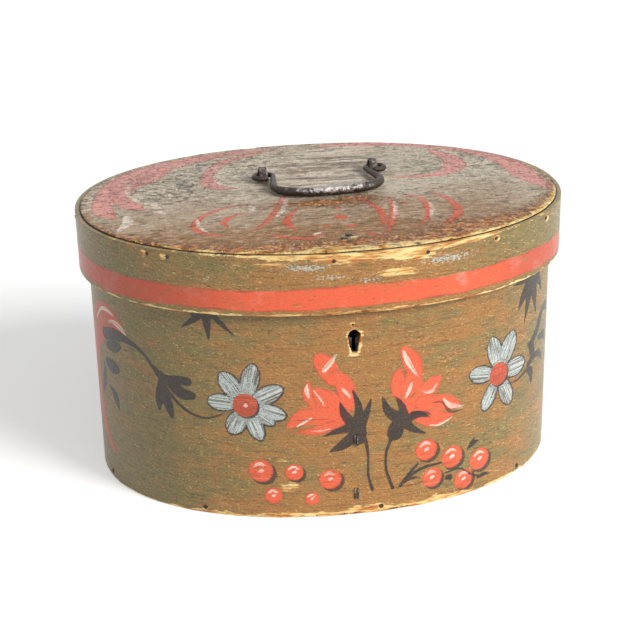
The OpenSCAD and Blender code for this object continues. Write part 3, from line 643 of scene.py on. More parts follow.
class Wire:
    """A socket in a node tree. Arithmetic on it adds Math nodes, so a mask is written as a formula."""

    def __init__(self, graph, socket):
        self.graph, self.socket = graph, socket

    def math(self, operation, *values):
        return self.graph.node("ShaderNodeMath", {"operation": operation}, dict(enumerate(values)))

    __add__, __radd__ = arithmetic("ADD"), arithmetic("ADD", True)
    __sub__, __rsub__ = arithmetic("SUBTRACT"), arithmetic("SUBTRACT", True)
    __mul__, __rmul__ = arithmetic("MULTIPLY"), arithmetic("MULTIPLY", True)
    __truediv__, __rtruediv__ = arithmetic("DIVIDE"), arithmetic("DIVIDE", True)
    least, most = arithmetic("MINIMUM"), arithmetic("MAXIMUM")

    def line(self, value, sharpness):
        """1 where the number is at a value, less by the sharpness times its distance from there."""
        off = self - value
        return off.math("ABSOLUTE", off) * -sharpness + 1

    def rise(self, low, high):
        """0 below low and 1 above high, or the other way where low is the greater, eased between."""
        start, end = (0, 1) if low < high else (1, 0)
        return self.graph.node("ShaderNodeMapRange", {"interpolation_type": "SMOOTHSTEP"},
                               {0: self, 1: min(low, high), 2: max(low, high), 3: start, 4: end})


class Graph:
    """The node tree of a material or a world."""

    def __init__(self, owner):
        self.owner = owner
        owner.use_nodes = True
        self.tree = owner.node_tree
        self.tree.nodes.clear()

    @classmethod
    def material_named(cls, name):
        return cls(bpy.data.materials.new(name))

    def node(self, kind, settings=None, inputs=None, output=0):
        """One node of a kind: its settings are set first, then its sockets take values or links."""
        made = self.tree.nodes.new(kind)
        for key, value in (settings or {}).items():
            setattr(made, key, value)
        for key, value in (inputs or {}).items():
            if isinstance(value, Wire):
                self.tree.links.new(value.socket, made.inputs[key])
            else:
                made.inputs[key].default_value = value
        return Wire(self, made.outputs[output]) if made.outputs else None

    def value(self, name):
        return self.node("ShaderNodeAttribute", {"attribute_name": name}, output="Fac")

    def vector(self, name):
        return self.node("ShaderNodeAttribute", {"attribute_name": name}, output="Vector")

    def object_place(self):
        """Object coordinates, in millimetres."""
        return self.stretch(self.node("ShaderNodeTexCoord", output="Object"), (1 / MM, 1 / MM, 1 / MM))

    def stretch(self, vector, factors):
        return self.node("ShaderNodeVectorMath", {"operation": "MULTIPLY"}, {0: vector, 1: factors})

    def noise(self, vector, factors, detail=3.0, roughness=0.55, distortion=0.0):
        """Noise whose grains have the size 1 / factor along each axis, spread about 0.5."""
        return self.node("ShaderNodeTexNoise", None,
                         {"Vector": self.stretch(vector, factors), "Scale": 1.0, "Detail": detail,
                          "Roughness": roughness, "Distortion": distortion})

    def mix(self, share, first, second):
        return self.node("ShaderNodeMix", {"data_type": "RGBA"},
                         {0: share, 6: rgba(first), 7: rgba(second)}, output=2)

    def layers(self, tone, *coats):
        """A tone with other colours laid over it one after another, each given as (share, colour)."""
        for share, colour in coats:
            tone = self.mix(share, tone, colour)
        return tone

    def finish(self, colour, roughness, height, depth=1.0, metallic=0.0, gloss=0.5):
        """Principled shader with a bump whose height is in millimetres times depth."""
        normal = self.node("ShaderNodeBump", None,
                           {"Strength": 1.0, "Distance": MM * depth, "Height": height})
        return self.end(self.node("ShaderNodeBsdfPrincipled", None, {
            "Base Color": rgba(colour), "Roughness": roughness, "Metallic": metallic,
            "Specular IOR Level": gloss, "Normal": normal}))

    def end(self, surface, kind="ShaderNodeOutputMaterial"):
        self.node(kind, None, {"Surface": surface})
        return self.owner

    def seen(self):
        """1 for rays from the camera, from gloss and through glass, 0 for the rest."""
        rays = [self.node("ShaderNodeLightPath", output=f"Is {kind} Ray")
                for kind in ("Camera", "Glossy", "Transmission")]
        return rays[0].most(rays[1]).most(rays[2])


def rgba(colour):
    return colour if isinstance(colour, Wire) else (*tuple(colour)[:3], 1.0)


def shade(colour, factor):
    """A colour made darker or lighter by a factor."""
    return tuple(min(1.0, channel * factor) for channel in tuple(colour)[:3])


# Noises that several parts of the paint share

def slanted(g, place):
    """The place turned by a quarter of a right angle, for scratches that cross the grain."""
    return g.node("ShaderNodeMapping", None, {"Vector": place, "Rotation": (math.pi / 8, 0, math.pi / 8)})


def scraping(g):
    """Fine noise that tears strokes and thins their paint."""
    return g.noise(g.vector("place"), (0.5, 0.9, 0.9), 4.0, 0.65)


def clouding(g, place):
    """Broad noise that clouds the ground and fades the red."""
    return g.noise(place, (0.05, 0.12, 0.12), 4.0, 0.7)


# Wood and paint

def bare_wood(g, place, paint, pale):
    """Worn wood: orange and cream along the grain, paler by a share, brown in the pores."""
    fibre = g.noise(place, (0.05, 0.5, 0.5), 4.0)
    blotch = g.noise(place, (0.05, 0.12, 0.12), 2.0)
    paleness = fibre * 1.4 + blotch + (pale - 0.7)
    pores = g.noise(place, (0.1, 0.8, 0.8), 3.0).rise(0.58, 0.66)
    return g.layers(paint.orange_wood,
                    (paleness.rise(0.28, 0.62), paint.cream_wood),
                    (paleness.rise(0.52, 0.7) * 0.7, paint.pale_wood),
                    (pores * 0.7, shade(paint.orange_wood, 0.3)))


def inner_wood(g, place, paint):
    """Unpainted wood inside: plain grain with darker lines and stains."""
    grain = g.noise(place, (0.01, 0.35, 0.35), 5.0)
    stain = g.noise(place, (0.02, 0.03, 0.03), 3.0)
    tone = g.layers(shade(paint.inner_wood, 0.62),
                    (grain.rise(0.35, 0.68), paint.inner_wood),
                    (stain.rise(0.55, 0.8) * 0.5, shade(paint.inner_wood, 0.4)))
    return tone, grain


def body_ground(g, place, paint, fine):
    """Olive that warms to gold at the middle of the front, partly the paint's own tone and partly painted
    light, with brush streaks, dark pores and pale flecks painted as glints of the varnish.
    """
    mottle = g.noise(place, (0.012, 0.03, 0.03), 4.0, 0.65)
    clouds = clouding(g, place)
    streaks = g.noise(place, (0.03, 0.5, 0.5), 4.0, 0.65)
    pores = g.noise(place, (0.2, 0.8, 0.8), 3.0, 0.7)
    flecks = g.noise(place, (0.5, 0.8, 0.8), 3.0, 0.7)
    scratches = g.noise(slanted(g, place), (0.018, 0.4, 0.4), 2.0, 0.6, 0.6).line(0.5, 40).rise(0.2, 0.9)
    # Warmth of the ground, high at the middle of the front and a little at the right: partly the paint's own
    # tone, partly painted light
    tint = g.value("tint")
    warmth = tint + (mottle - 0.5) * 2.2 + (clouds - 0.5) * 1.6
    scuffed = (g.value("scuffed") * 0.8 + (flecks - 0.5) * 3).rise(0.62, 0.78)
    tone = g.layers(paint.olive,
                    (warmth.rise(0.05, 0.95), paint.golden),
                    (clouds.rise(0.55, 0.72) * tint * 0.4, shade(paint.orange_wood, 0.8)),
                    (streaks.rise(0.48, 0.36) * 0.42, shade(paint.olive, 0.35)),
                    (streaks.rise(0.56, 0.68) * 0.2, shade(paint.golden, 1.4)),
                    (pores.rise(0.57, 0.66) * 0.45, shade(paint.olive, 0.2)),
                    # Pale flecks: painted glints of the varnish, in the cream of chipped wood
                    (flecks.rise(0.66, 0.72) * 0.4, paint.cream_wood),
                    (scuffed * 0.85, shade(paint.white, 0.9)),
                    (scratches * flecks.rise(0.5, 0.56) * 0.7, paint.cream_wood))
    height = streaks * 0.3 - pores * 0.35 + fine * 0.12 + clouds * 0.5
    return tone, height, pores.rise(0.63, 0.68).most((fine + pores).rise(1.24, 1.32)) * 0.5


def body_wear(g):
    """Bare where the wear value is high, in grains along the wood."""
    grains = g.noise(g.vector("place"), (0.07, 0.5, 0.5), 4.0, 0.65)
    return (g.value("wear") + grains * 1.3 + scraping(g) * 0.3).rise(1.28, 1.4)


def lid_ground(g, place, paint, fine):
    """Pale grey ground, partly the paint's own grey and partly a painted sheen of the varnish, browner to the
    front, with wrinkles, raised weathered grain and a burnt front border.

    A wrinkle or a ridge is dark where its noise is near one value, and its height is the noise itself. The
    wrinkles carry painted highlights on their crests and painted shade in their hollows, and the ridges carry
    painted highlights beside their dark lines.
    """
    weathered, wrinkled, border = g.value("weathered"), g.value("wrinkled"), g.vector("border")
    mottle = g.noise(place, (0.014, 0.02, 0.02), 4.0, 0.65)
    ridges = g.noise(place, (0.016, 0.17, 0.17), 4.0, 0.62, 0.5)
    wrinkles = g.noise(slanted(g, place), (0.13, 0.2, 0.2), 3.0, 0.6, 0.8)
    dashes = g.noise(place, (0.13, 0.3, 0.3), 3.0, 0.65, 0.5)
    combed = g.noise(border, (0.35, 0.1, 0.1), 3.0, 0.65)
    grit = g.noise(place, (0.32, 0.25, 0.32), 4.0, 0.7)
    brown = g.value("browned") + (mottle - 0.5) * 1.4
    burnt = (g.value("burnt") * 1.3 + (combed - 0.5) * 1.2 + (grit - 0.5) * 1.4).rise(0.15, 0.6)
    orange = g.mix((combed * 0.5 + grit * 0.5).rise(0.42, 0.54), shade(paint.orange_wood, 0.2),
                   shade(paint.orange_wood, 1.2))
    tone = g.layers(paint.lid_ground,
                    (brown.rise(0.0, 1.0), shade(paint.golden, 0.75)),
                    (mottle.rise(0.5, 0.68) * 0.3, shade(paint.lid_ground, 0.6)),
                    (weathered * mottle.rise(0.4, 0.6) * 0.3, shade(paint.orange_wood, 0.9)),
                    # Painted highlights on the crests of the wrinkles and beside the ridges' dark lines, and
                    # painted shade in the wrinkles' hollows
                    (ridges.rise(0.55, 0.59) * weathered * 0.9, shade(paint.orange_wood, 0.16)),
                    (ridges.rise(0.51, 0.45) * weathered * 0.85, paint.light),
                    (wrinkles.rise(0.51, 0.57) * wrinkled * 0.6, paint.light),
                    (wrinkles.rise(0.47, 0.41) * wrinkled * 0.85, shade(paint.lid_ground, 0.12)),
                    (fine.rise(0.56, 0.7) * 0.3, paint.light),
                    (burnt * 0.85, orange),
                    (burnt * grit.rise(0.57, 0.63) * 0.8, paint.cream_wood),
                    (dashes.rise(0.45, 0.37) * 0.35, paint.light))
    cracks = wrinkles.line(0.42, 30).rise(0.0, 1.0) * wrinkled * 0.8
    pits = dashes.rise(0.56, 0.62) * 0.6
    lines = ridges.line(0.53, 24).rise(0.0, 1.0) * weathered * 0.8
    height = ridges * (0.6 + weathered * 6.0) + wrinkles * (1.5 + wrinkled * 7.0) + grit * burnt * 2.5 \
        - dashes * 1.5
    # The edge of the board is dark from 0.9 to 1.3 mm below its top, where it meets the rim
    top = BOARD_HIGH_CORNER.z / MM
    joint = g.node("ShaderNodeSeparateXYZ", None, {0: border}, output="Z").rise(top - 0.9, top - 1.3)
    return tone, height, cracks.most(pits).most(lines).most(joint)


def lid_wear(g):
    """Chips along the edge of the board, deeper where the wear value is high."""
    chips = g.noise(g.vector("border"), (0.11, 0.25, 0.3), 4.0, 0.7)
    return (g.value("wear") + chips * 1.5).rise(1.35, 1.42)


# What differs between the paint of the bands and of the lid: how torn red strokes and highlights are in
# millimetres, how far highlights have spread, the noise between which red has flaked and by what share, the
# stretch of the bare wood and how pale it is, and the roughness and gloss
BAND_COAT = SimpleNamespace(ground=body_ground, wear=body_wear, torn=0.1, light_torn=0.3, light_spread=0.2,
                            flaked=(0.6, 0.68, 0.4), wood_stretch=(1, 1, 1), pale=0.0, rough=0.26, gloss=0.55)
LID_COAT = SimpleNamespace(ground=lid_ground, wear=lid_wear, torn=0.5, light_torn=1.0, light_spread=0.8,
                           flaked=(0.5, 0.64, 0.75), wood_stretch=(1, 0.35, 1), pale=0.16, rough=0.4,
                           gloss=0.3)


def mask(distance, width=0.7):
    """1 where a distance in millimetres is below nothing, 0 where it is above, eased over a width."""
    return distance.rise(width / 2, -width / 2)


def red_paint(g, paint, on_lid, bristles, loaded):
    """Vermilion, deeper at a stroke's edges and where the brush ran dry, faded on the lid, and darkened
    towards the ends of a band as painted shade.
    """
    strong = paint.red
    if on_lid:
        strong = g.mix(g.value("browned").rise(0.2, 0.7), paint.pink, shade(paint.red, 0.8))
    inset = (g.value("inset") * 0.4).least(1.0)
    tone = g.layers(shade(paint.red, 0.55),
                    ((bristles * 0.8 + inset * 0.45 + loaded * 0.5).rise(0.55, 0.95), strong),
                    (bristles.rise(0.55, 0.75) * 0.35, shade(paint.pink, 1.5)))
    # On the bands, red darkens where the front warmth value is low, towards the ends and the back: painted
    # shade where the band turns from the lamp
    return tone if on_lid else g.mix(g.value("tint").rise(0.5, 0.1) * 0.5, tone, shade(paint.red, 0.38))


def painted_material(name, coat, crack_level):
    """Old paint on wood: ground, strokes in order, wear to bare wood, and bump from grain and brushwork."""
    paint = bpy.context.scene.paint_colours
    g = Graph.material_named(name)
    on_lid = coat is LID_COAT
    place = g.vector("place")
    fine = g.noise(place, (0.7, 0.9, 0.9), 3.0, 0.65)
    base, height, marks = coat.ground(g, place, paint, fine)

    across = g.node("ShaderNodeCombineXYZ", None, {0: g.value("across"), 1: 0.0, 2: 0.0})
    drift = g.stretch(place, (0.03, 0.03, 0.03))
    bristles = g.noise(g.node("ShaderNodeVectorMath", {"operation": "ADD"}, {0: across, 1: drift}),
                       (1.5, 1.5, 1.5), 3.0, 0.6)
    ripple = (g.noise(place, (0.35, 0.35, 0.35), 3.0) - 0.5) * 2.2
    scraped = scraping(g)
    ragged = (scraped - 0.5) * 5
    low, high, share = coat.flaked
    flaked = (scraped.rise(low, high) * share).most(clouding(g, place).rise(0.5, 0.66) * 0.34)
    red = mask(g.value("red") + ripple * 0.5 + ragged * coat.torn) * (1 - flaked)
    petal = g.value("white") + ripple * 0.5 + (bristles - 0.5) * 3
    thin = (bristles * 1.3 + scraped * 0.4 - 0.35).rise(0.38, 0.57)
    white = mask(petal + ragged * 0.5, 0.5) * (0.14 + thin * 0.86)
    outline = petal.line(0.2, 1.1).rise(0.1, 0.6) * scraped.rise(0.42, 0.52) * 0.75
    under = mask(g.value("under") + ripple * 0.5 + ragged * 0.4)
    dark = mask(g.value("dark") + ripple * 0.4) * (1 - scraped.rise(0.58, 0.7) * 0.35)
    edge = mask(g.value("edge") + ripple * 0.3)
    centre = mask(g.value("centre") + ripple * 0.5)
    chalk = g.noise(place, (0.3, 0.2, 0.3), 3.0, 0.6) if on_lid else bristles
    light = mask(g.value("light") + ripple * 0.35 + ragged * coat.light_torn - coat.light_spread, 0.6) \
        * (0.3 + chalk.rise(0.42, 0.52) * 0.7)

    crack = g.noise(place, (0.015, 0.55, 0.55), 5.0, 0.7).rise(crack_level, crack_level + 0.05)
    specks = g.noise(place, (0.45, 0.6, 0.6), 2.0).rise(0.7, 0.76)
    bare = coat.wear(g)
    wood = bare_wood(g, g.stretch(place, coat.wood_stretch), paint, coat.pale)
    inner, grain = inner_wood(g, place, paint)
    joint = g.value("joint")
    inside = g.value("inside") - joint
    grainy = 1 - red * 0.65
    red_tone = red_paint(g, paint, on_lid, bristles, g.noise(place, (0.06, 0.09, 0.09), 3.0))
    dark_tone = g.mix(bristles.rise(0.5, 0.66), paint.dark, shade(paint.dark, 2.2))
    colour = g.layers(base,
                      (under * 0.8, paint.dark),
                      (white, paint.white),
                      (outline, shade(paint.dark, 0.8)),
                      (red, red_tone),
                      (dark * 0.94, dark_tone),
                      (centre, red_tone),
                      (edge * 0.7, paint.dark),
                      (light, paint.light),
                      (fine.rise(0.5, 0.36) * grainy * 0.22, shade(paint.dark, 1.5)),
                      (fine.rise(0.54, 0.68) * grainy * 0.08, paint.light),
                      (bare, wood),
                      ((crack.most(specks * 0.8) * 0.55).most(marks), shade(paint.dark, 0.6)),
                      (inside, inner),
                      (joint.rise(0.6, 0.9) * 0.9, shade(paint.dark, 0.4)))
    painted = white.most(red).most(dark).most(light).most(centre)
    relief = (height + painted * (0.06 + bristles * 0.12) - bare * 0.1 - crack * 0.3) * (1 - inside)
    rough = coat.rough + fine * 0.16 + bare * 0.15 + inside * 0.2 - painted * 0.04
    return g.finish(colour, rough, relief + grain * inside * 0.3, gloss=coat.gloss)


def iron_material(name, worn, level=1.0):
    """Forged iron: brown-black with rust in the hollows, hammered facets and bright places; along the top of
    the grip they are partly hand polish and partly a painted highlight.
    """
    tones = bpy.context.scene.iron_colours
    g = Graph.material_named(name)
    place = g.object_place()
    hammer = g.noise(place, (0.12, 0.12, 0.12), 2.0)
    pits = g.noise(place, (0.5, 0.5, 0.5), 4.0, 0.65)
    scuffs = g.noise(place, (0.3, 0.3, 0.3), 4.0, 0.7)
    if worn:
        # On the grip, the bright share follows the worn value: partly hand polish, partly a painted highlight
        # on the wire's top
        polish = (g.value("worn") * 0.6 + scuffs * 1.3 - pits * 0.5).rise(0.6, 0.95)
    else:
        polish = (scuffs * 1.4 - pits * 0.3).rise(0.48, 0.72) * 0.6
    colour = g.layers(shade(tones.iron, level),
                      (pits.rise(0.5, 0.68) * 0.8, shade(tones.rust, level)),
                      (polish * 0.7 * level, tones.bright))
    rough = 0.36 - polish * 0.12 + pits * 0.1
    return g.finish(colour, rough, hammer * 1.4 + pits * 1.0, depth=0.8, metallic=0.3 + polish * 0.6)


def fibre_material(name, tone, along):
    """Split root or a peg: fine fibres along one axis, darker in the grooves."""
    g = Graph.material_named(name)
    fibres = g.noise(g.object_place(), along, 4.0, 0.6)
    colour = g.mix(fibres.rise(0.38, 0.66), shade(tone, 0.45), shade(tone, 1.15))
    return g.finish(colour, 0.6 + fibres * 0.1, fibres, depth=0.35)


def plain_wood_material(name):
    """Unpainted wood of the bottom board, its grain along the box."""
    g = Graph.material_named(name)
    colour, grain = inner_wood(g, g.object_place(), bpy.context.scene.paint_colours)
    return g.finish(colour, 0.6 + grain * 0.1, grain, depth=0.4)


# Pieces

def stand(made, material, body, slot, *nodes):
    """Gives a finished piece its material and its body, and hides the CAD nodes that it stands for. The slot
    is not used.
    """
    made.data.materials.clear()
    made.data.materials.append(material)
    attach(made, body)
    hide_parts(*nodes)
    return made


def spaced(low, high, step):
    """Even steps from low to high, as near to a step's size as fits."""
    return np.linspace(low, high, max(2, int(round((high - low) / step)) + 1))


def store(made, brush, place, inside, **values):
    """Puts the brushwork and the other values of a painted piece into its mesh."""
    set_vectors(made, "place", place)
    named = {"inside": inside, "across": brush.across, "inset": brush.inset, **brush.layers, **values}
    for name, value in named.items():
        set_floats(made, name, value)


# Steps between a band's columns on the front and at the back, and how far the front reaches to each side
FRONT_STEP, BACK_STEP, FRONT_REACH = 1.3, 3.5, 238


def band_columns(depth):
    """Angle and length s of a band's columns, close together on the front and wider apart at the back."""
    angles, lengths = arc_table(depth)
    s = np.concatenate([spaced(lengths[0], -FRONT_REACH, BACK_STEP)[:-1],
                        spaced(-FRONT_REACH, FRONT_REACH, FRONT_STEP),
                        spaced(FRONT_REACH, lengths[-1], BACK_STEP)[1:]])
    return np.interp(s, lengths, angles), s


def band(name, depth, thick, heights, arris, low_arris):
    """A bent band as a closed loop of rows carried along its spiral path.

    The loop goes up the outer face, over the top, down the inner face and back along the bottom. A row is a
    depth (a + b times the thickness) and a height. The arrises are quarter circles of the given radii, and
    the lower outer one changes along the band as low_arris does.
    """
    t, s = band_columns(depth)
    low, top = heights[0], heights[-1]
    turn = np.radians([0, 30, 60, 90])
    cos, sin = 1 - np.cos(turn), 1 - np.sin(turn)
    foot = low_arris(s)[:, None]
    loop = [
        (foot * sin, 0, low + foot * cos),
        (0, 0, heights[1:-1]),
        (arris * cos, 0, top - arris * sin),
        (-arris * sin, 1, top - arris * cos),
        (0, 1, np.linspace(top, low, 10)[1:-1]),
        (-arris * cos, 1, low + arris * sin),
    ]
    a, b, z = (np.concatenate([np.broadcast_to(part[i], (len(s), part[2].shape[-1])) for part in loop], 1)
               for i in range(3))
    depths = depth + band_sink(t, thick)[:, None] + a + b * band_thickness(t, thick)[:, None]
    points = np.concatenate([oval(t[:, None], depths), z[..., None]], -1)
    columns, rows = z.shape
    caps = [np.arange(rows), np.arange(rows)[::-1] + (columns - 1) * rows]
    made = solid(name, points.reshape(-1, 3), grid_quads(columns, rows, True), caps)
    return made, np.repeat(s, rows), np.tile(b[0], columns)


# Middle of the keyhole's round top, the old nail hole above it, from there, and both cutters' ends in y
KEY_X, KEY_Z, NAIL_X, NAIL_Z, NAIL_RADIUS = 5.4, 147.5, -1, 8.6, 0.9
CUTTER_ENDS = (-150.0, -110.0)


def keyhole_cutters():
    """Cutters for the keyhole, whose round top narrows downwards, and for the old nail hole."""
    radius, foot, drop = 4.8, 2.2, 13.2
    turn = np.radians(np.linspace(-8, 188, 41))
    top = radius * np.column_stack([np.cos(turn), np.sin(turn)])
    top = top + 0.25 * np.column_stack([np.sin(5 * turn), np.cos(4 * turn)])
    side = np.linspace(0, 1, 10)[1:, None]
    left = top[-1] + side * (np.array([-foot, -drop]) - top[-1])
    left[:, 0] += 0.3 * np.sin(9 * side[:, 0])
    right = np.array([foot, -drop]) + side[:-1] * (top[0] - np.array([foot, -drop]))
    keyhole = np.vstack([top, left, [[foot, -drop]], right]) + [KEY_X, KEY_Z]
    turn = np.radians(np.arange(0, 360, 24))
    nail = np.column_stack([KEY_X + NAIL_X + NAIL_RADIUS * np.cos(turn),
                            KEY_Z + NAIL_Z + NAIL_RADIUS * np.sin(turn)])
    cutters = []
    for index, line in enumerate((keyhole, nail)):
        count = len(line)
        points = np.concatenate([np.column_stack([line[:, 0], np.full(count, y), line[:, 1]])
                                 for y in CUTTER_ENDS])
        cutters.append(solid(f"cutter_{index}", points, grid_quads(2, count, True),
                             [np.arange(count)[::-1], np.arange(count) + count]))
    return cutters


def cut(made, cutters):
    """Takes the cutters out of a piece with exact Boolean modifiers, applied at once."""
    for cutter in cutters:
        modifier = made.modifiers.new("cut", "BOOLEAN")
        modifier.operation, modifier.solver, modifier.object = "DIFFERENCE", "EXACT", cutter
    bpy.context.view_layer.update()
    mesh = bpy.data.meshes.new_from_object(made.evaluated_get(bpy.context.evaluated_depsgraph_get()))
    made.modifiers.clear()
    made.data = mesh
    mesh.shade_smooth()
    for cutter in cutters:
        bpy.data.objects.remove(cutter)


def point_keys(points):
    """One whole number for each point, the same for points that agree to a thousandth of a millimetre."""
    return np.round(points * 1000).astype(np.int64) @ np.array([1, 3_000_017, 9_000_000_011])


def kept_values(made, before, values):
    """Points after a cut, which of them were there before it, and their earlier values (any for the rest)."""
    after = coordinates(made)
    old, new = point_keys(before), point_keys(after)
    order = np.argsort(old)
    index = order[np.clip(np.searchsorted(old[order], new), 0, len(old) - 1)]
    return after, old[index] == new, [value[index] for value in values]


def hole_distance(s, z):
    """Distance from the edge of the keyhole or of the nail hole, whichever is nearer, negative inside."""
    rise = z - KEY_Z
    keyhole = np.hypot(s - KEY_X - 0.6, np.maximum(np.abs(rise + 6.5) - 7, 0) * 1.2) \
        - (2.2 + 2.8 * np.clip((rise + 13.5) / 14, 0, 1))
    return np.minimum(keyhole, np.hypot(s - KEY_X - NAIL_X, rise - NAIL_Z) - 0.8)


def body_foot(s):
    """Radius of the body's worn lower arris."""
    return 0.9 + waves(s, (37, 0.25, 1), (11.3, 0.15, 2), (5.1, 0.1, 0)) + 0.5 * front_share(s, 20, 90)


def rim_foot(s):
    """Radius of the rim's worn lower arris."""
    return 0.9 + waves(s, (41, 0.2, 0), (13, 0.15, 2), (4.7, 0.1, 1))


# Height up to which the body shows under the rim, and the y behind which the front wall's inner face lies
UNDER_RIM, INNER_FACE = 173, -129.5


class BENTWOOD_OT_body(bpy.types.Operator):
    """Body band with its painted flowers, worn foot and keyhole"""
    bl_idname = "bentwood.body"
    bl_label = "Body band"

    def execute(self, context):
        sizes = context.scene.box_sizes
        depth = (sizes.rim_thickness + sizes.slip_gap) / MM
        top = BODY_HIGH_CORNER.z / MM
        heights = np.concatenate([spaced(0, UNDER_RIM, 1.4), spaced(UNDER_RIM, top, 5)[1:]])
        made, s, inside = band("body", depth, sizes.wall_thickness / MM, heights, 0.6, body_foot)
        before = coordinates(made)
        cut(made, keyhole_cutters())
        after, kept, (s, inside) = kept_values(made, before, [s, inside])
        x, y, z = after.T
        s = np.where(kept, s, x)
        inside = np.where(kept, inside, (y > INNER_FACE) * 1.0)
        brush = Brushwork(np.column_stack([s, z - MOTIF_LINE]))
        body_strokes(brush)
        foot = 4.2 + 3.2 * front_share(s, 30, 80) + waves(s, (61, 1.3, 0), (23, 1, 1), (9, 0.6, 4))
        wear = np.max([patches(brush.flat, WORN_BODY) * 0.55,
                       np.clip(1.15 - z / foot, 0, 1) * 1.3 * (0.35 + 0.65 * front_share(s, 10, 150)),
                       np.exp(-np.maximum(hole_distance(s, z), 0) / 2.2)], 0)
        # Warmth of the body's ground along s: partly the paint's own tone, partly painted light on the lit
        # middle of the front and on the right
        tint = np.clip(0.15 + 0.75 * front_share(s, 5, 105) + 0.2 * front_share(s, 150, 60), 0, 1)
        store(made, brush, np.column_stack([s, z, y * 0.2]), inside, wear=wear, tint=tint)
        stand(made, painted_material("body_paint", BAND_COAT, 0.66), "box", "painted_band", "body_band")
        return {"FINISHED"}


class BENTWOOD_OT_rim(bpy.types.Operator):
    """Lid rim with its red stripe and worn arrises"""
    bl_idname = "bentwood.rim"
    bl_label = "Lid rim"

    def execute(self, context):
        low, top = RIM_LOW_CORNER.z / MM, RIM_HIGH_CORNER.z / MM
        thick = context.scene.box_sizes.rim_thickness / MM
        made, s, inside = band("rim", 0, thick, spaced(low, top, 1.1), 0.4, rim_foot)
        y, z = coordinates(made).T[1:]
        brush = Brushwork(np.column_stack([s, z - MOTIF_LINE]))
        middle = low + 12.6 + waves(s, (420, 0.8, 0.5), (133, 0.5, 1))
        half = 8 + waves(s, (170, 0.4, 2), (39, 0.25, 0))
        brush.layers["red"] = np.abs(z - middle) - half
        brush.inset = np.maximum(0, -brush.layers["red"])
        front = front_share(s, 20, 120)
        foot = 1.9 + 0.9 * front + waves(s, (47, 0.5, 2), (17, 0.4, 0), (7, 0.3, 1))
        crown = 0.8 + 9.5 * front_share(s, 25, 75) + waves(s, (53, 0.8, 2), (19, 0.9, 1), (8, 0.5, 0))
        wear = np.max([np.clip(1.25 - (z - low) / foot, 0, 1.1),
                       np.clip(1.2 - (top - z) / np.maximum(crown, 0.4), 0, 1.0) * (0.3 + 0.7 * front),
                       0.72 * patches(brush.flat, WORN_RIM),
                       patches(brush.flat, [(peg, 204, 3.4, 3.4, 1.05) for peg in CHIPPED_PEGS])], 0)
        # Warmth of the rim's ground along s: partly the paint's own tone, partly painted light on the lit
        # front
        tint = np.clip(0.1 + 0.85 * front_share(s, 15, 95), 0, 1)
        store(made, brush, np.column_stack([s + RIM_GRAIN, z, y * 0.2]), inside, wear=wear, tint=tint,
              scuffed=patches(brush.flat, RIM_SCUFFS), joint=inside * (z > top - 1))
        stand(made, painted_material("rim_paint", BAND_COAT, 0.68), "lid", "painted_band", "lid_rim")
        return {"FINISHED"}


# Columns of the lid board round its side, and rings across its flat top
BOARD_COLUMNS, BOARD_RINGS = 660, 88


def board_mesh(edge, t, s):
    """The lid board, and the points of its side.

    A profile from the middle of the top, over the edge, to the middle of the underside is carried round the
    oval. On the flats a ring is a share of the side's, so that the rings close at the middle.
    """
    low, top = BOARD_LOW_CORNER.z / MM, BOARD_HIGH_CORNER.z / MM
    edge = edge + lap_easing(t) * (t > BACK - LAP_HALF)
    side = oval(t, edge)
    chip = 1.1 + 0.5 * front_share(s, 0, 150) + waves(s, (31, 0.35, 0), (12.7, 0.3, 1), (5.3, 0.25, 2))
    chip = np.clip(chip + 0.9 * np.clip(waves(s, (83, 0.6, 1), (29, 0.6, 2)), 0, 1), 0.5, 2.6)
    rings = [(side * share, top) for share in (*np.linspace(0, 0.97, BOARD_RINGS)[1:], 0.985)]
    for turn in np.array([0, 0.35, 0.7, 1]) * math.pi / 2:
        rings.append((oval(t, edge + chip * (1 - math.sin(turn))), top - chip * (1 - math.cos(turn))))
    rings += [(side, height) for height in (top - 4, low + 3, low)]
    rings += [(side * share, low) for share in (0.9, 0.6, 0.3)]
    rings = np.array([np.column_stack([flat, np.broadcast_to(height, len(t))]) for flat, height in rings])
    rows, columns = rings.shape[:2]
    points = np.vstack([rings.reshape(-1, 3), [[0, 0, top], [0, 0, low]]])
    first, last, end = rows * columns, rows * columns + 1, (rows - 1) * columns
    j = np.arange(columns)
    k = (j + 1) % columns
    caps = [*np.column_stack([np.full(columns, first), j, k]),
            *np.column_stack([np.full(columns, last), end + k, end + j])]
    return solid("lid_top", points, grid_quads(rows, columns, True), caps), side


def polar(flat):
    """Angle in degrees and distance from the middle of each point."""
    return np.degrees(np.arctan2(flat[:, 1], flat[:, 0])) % 360, np.hypot(flat[:, 0], flat[:, 1])


